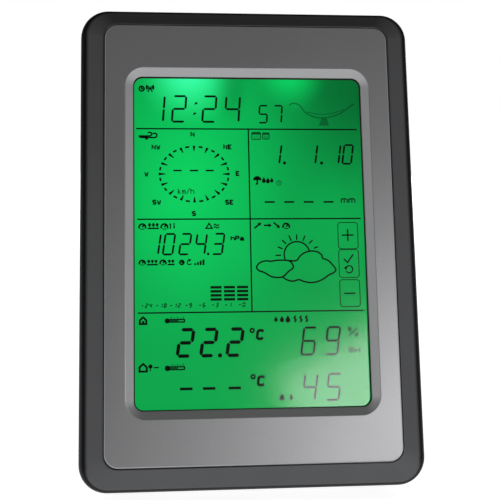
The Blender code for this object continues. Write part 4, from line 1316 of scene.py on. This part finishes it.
def make_feet(paint):
    """Two thin rubber pads under the case. Because it leans, they stand on their back edges."""
    thick = (case_origin.z / MM - FOOT_Y[1] * math.sin(LEAN)) / math.cos(LEAN)
    size = (FOOT_X[1] - FOOT_X[0], FOOT_Y[1] - FOOT_Y[0], 1.5)
    pads = [moved(soft_slab(size, (-thick, -0.02), 0.2, 6), side * sum(FOOT_X) / 2) for side in (-1, 1)]
    place = case_spot(0, sum(FOOT_Y) / 2, 0) @ Matrix.Rotation(math.pi / 2, 4, "X")
    feet = ["foot_left", "foot_right"]
    piece("rubber_feet", together(*pads), paint, stands_for=feet, place=place)


def make_cells(paint):
    """Three AA cells that alternate end for end. Each is drawn with its positive end at +x."""
    shoulder = CELL_TIP - 1.2
    back = CELL_TIP - CELL_LENGTH
    r = CELL_RADIUS
    ends = [(0.0, 3.2), (0.0, r - 1.3), (0.25, r - 1.1), (0.3, r - 0.5), (0.5, r - 0.12), (0.9, r), (2.3, r)]
    profile = [(back + along, radius) for along, radius in ends]
    rim = [(-2.6, r), (-2.3, r - 0.15), (-2.0, r), (-0.7, r), (-0.2, r - 0.25), (0.0, r - 0.8)]
    rim += [(0.0, 4.4), (0.15, 3.2), (0.2, 2.75), (1.0, 2.7), (1.15, 2.5), (1.2, 2.1)]
    profile += [(shoulder + along, radius) for along, radius in rim]
    for index, sign in enumerate((1, -1, 1), start=1):
        place = case_spot(0, CELL_Y, BAY_Z + CELL_PITCH * (2 - index))
        if sign < 0:
            place = place @ Matrix.Rotation(math.pi, 4, "Z")
        cell, node = turned(profile, "X", 40), f"battery_{index}"
        piece(f"aa_cell_{index}", cell, paint, stands_for=[node], place=place)


def make_case_screws(paint):
    """Four screws with domed heads, a cross recess, and pointed shafts with a few threads."""
    head, low, high = 2.8, 27.3, 29.2
    shaft, tip, turns = 1.3, 9.0, 8
    core = shaft * 0.8
    start = tip + shaft
    pitch = (low - start - 0.6) / turns
    profile = [(tip, shaft * 0.25), (start, core)]
    for index in range(turns):
        along = start + pitch * index
        profile += [(along + pitch * 0.25, core), (along + pitch * 0.5, shaft), (along + pitch * 0.75, core)]
    profile += [(low, core), (low, head * 0.96), (low + 0.15, head), (high - 0.7, head)]
    profile += [(high - 0.35, head * 0.86), (high - 0.1, head * 0.55), (high, head * 0.2)]
    arm, half = head * 0.55, 0.75 / 2
    screws = []
    for x, z in CASE_SCREWS:
        flat = box((-arm, high - 0.9, -half), (arm, high + 1, half))
        upright = box((-half, high - 0.9, -arm), (half, high + 1, arm))
        screw = carve(turned(profile, sides=24), ("DIFFERENCE", flat), ("DIFFERENCE", upright))
        screws.append(moved(screw, x, 0, z))
    nodes = [f"case_screw_{index}" for index in range(1, len(CASE_SCREWS) + 1)]
    piece("case_screws", together(*screws), paint, stands_for=nodes)


# ---------------------------------------------------------------- putting it together

make_camera()
make_world()
make_floor()
make_light("key", 18.0, 12.6, 3.0, (0.84, 0.9), 4.7, roll=20.0)
make_light("rear_fill", 166.0, 9.0, 1.6, (1.1, 0.8), 3.6)

paints = plain_paints()
paints["case_black"] = case_paint()
paints["silver_paint"] = silver_paint()
paints["lcd_green"] = lcd_paint()
paints["touch_glass"] = glass_paint()
paints["cell_wrap"] = cell_paint()
paints["board_green"] = board_paint()
paints["copper"] = striped_paint("copper", ((0.72, 0.38, 0.22), (0.38, 0.16, 0.08)), 0.0004, 0.28, 1.0)
paints["ribbon_amber"] = striped_paint("ribbon_amber", ((0.55, 0.26, 0.05), (0.3, 0.12, 0.03)), 0.0012, 0.35)
ink = ink_paint("lcd_ink", (0.0015, 0.006, 0.003), 1.0)
thin_ink = ink_paint("lcd_thin_ink", (0.001, 0.012, 0.005), 0.9)
ghost_ink = ink_paint("lcd_ghost_ink", (0.004, 0.05, 0.02), 0.3)
key_ink = ink_paint("lcd_key_ink", (0.003, 0.03, 0.012), 0.6)

make_front_case(paints["case_black"])
make_front_plate(paints["silver_paint"])
make_rear_case(paints["back_black"])
make_door(paints["back_black"])
make_leg(paints["back_black"])
make_feet(paints["rubber_black"])
make_cells(paints["cell_wrap"])
make_case_screws(paints["steel"])
draw_grid(ink)
draw_clock(ink, thin_ink)
draw_dish(ghost_ink)
draw_wind(ink, key_ink)
draw_date_and_rain(ink, key_ink)
draw_pressure(ink, thin_ink)
draw_forecast(ink, thin_ink)
draw_keys(ink, thin_ink, key_ink)
draw_climate(ink, thin_ink)

for part in frame["record"]["subparts"]:
    node = frame["nodes"][part["node"]]
    node.data.materials.clear()
    node.data.materials.append(paints[part["material_slot"]].material)

scene = bpy.context.scene
scene.view_settings.view_transform = "Standard"
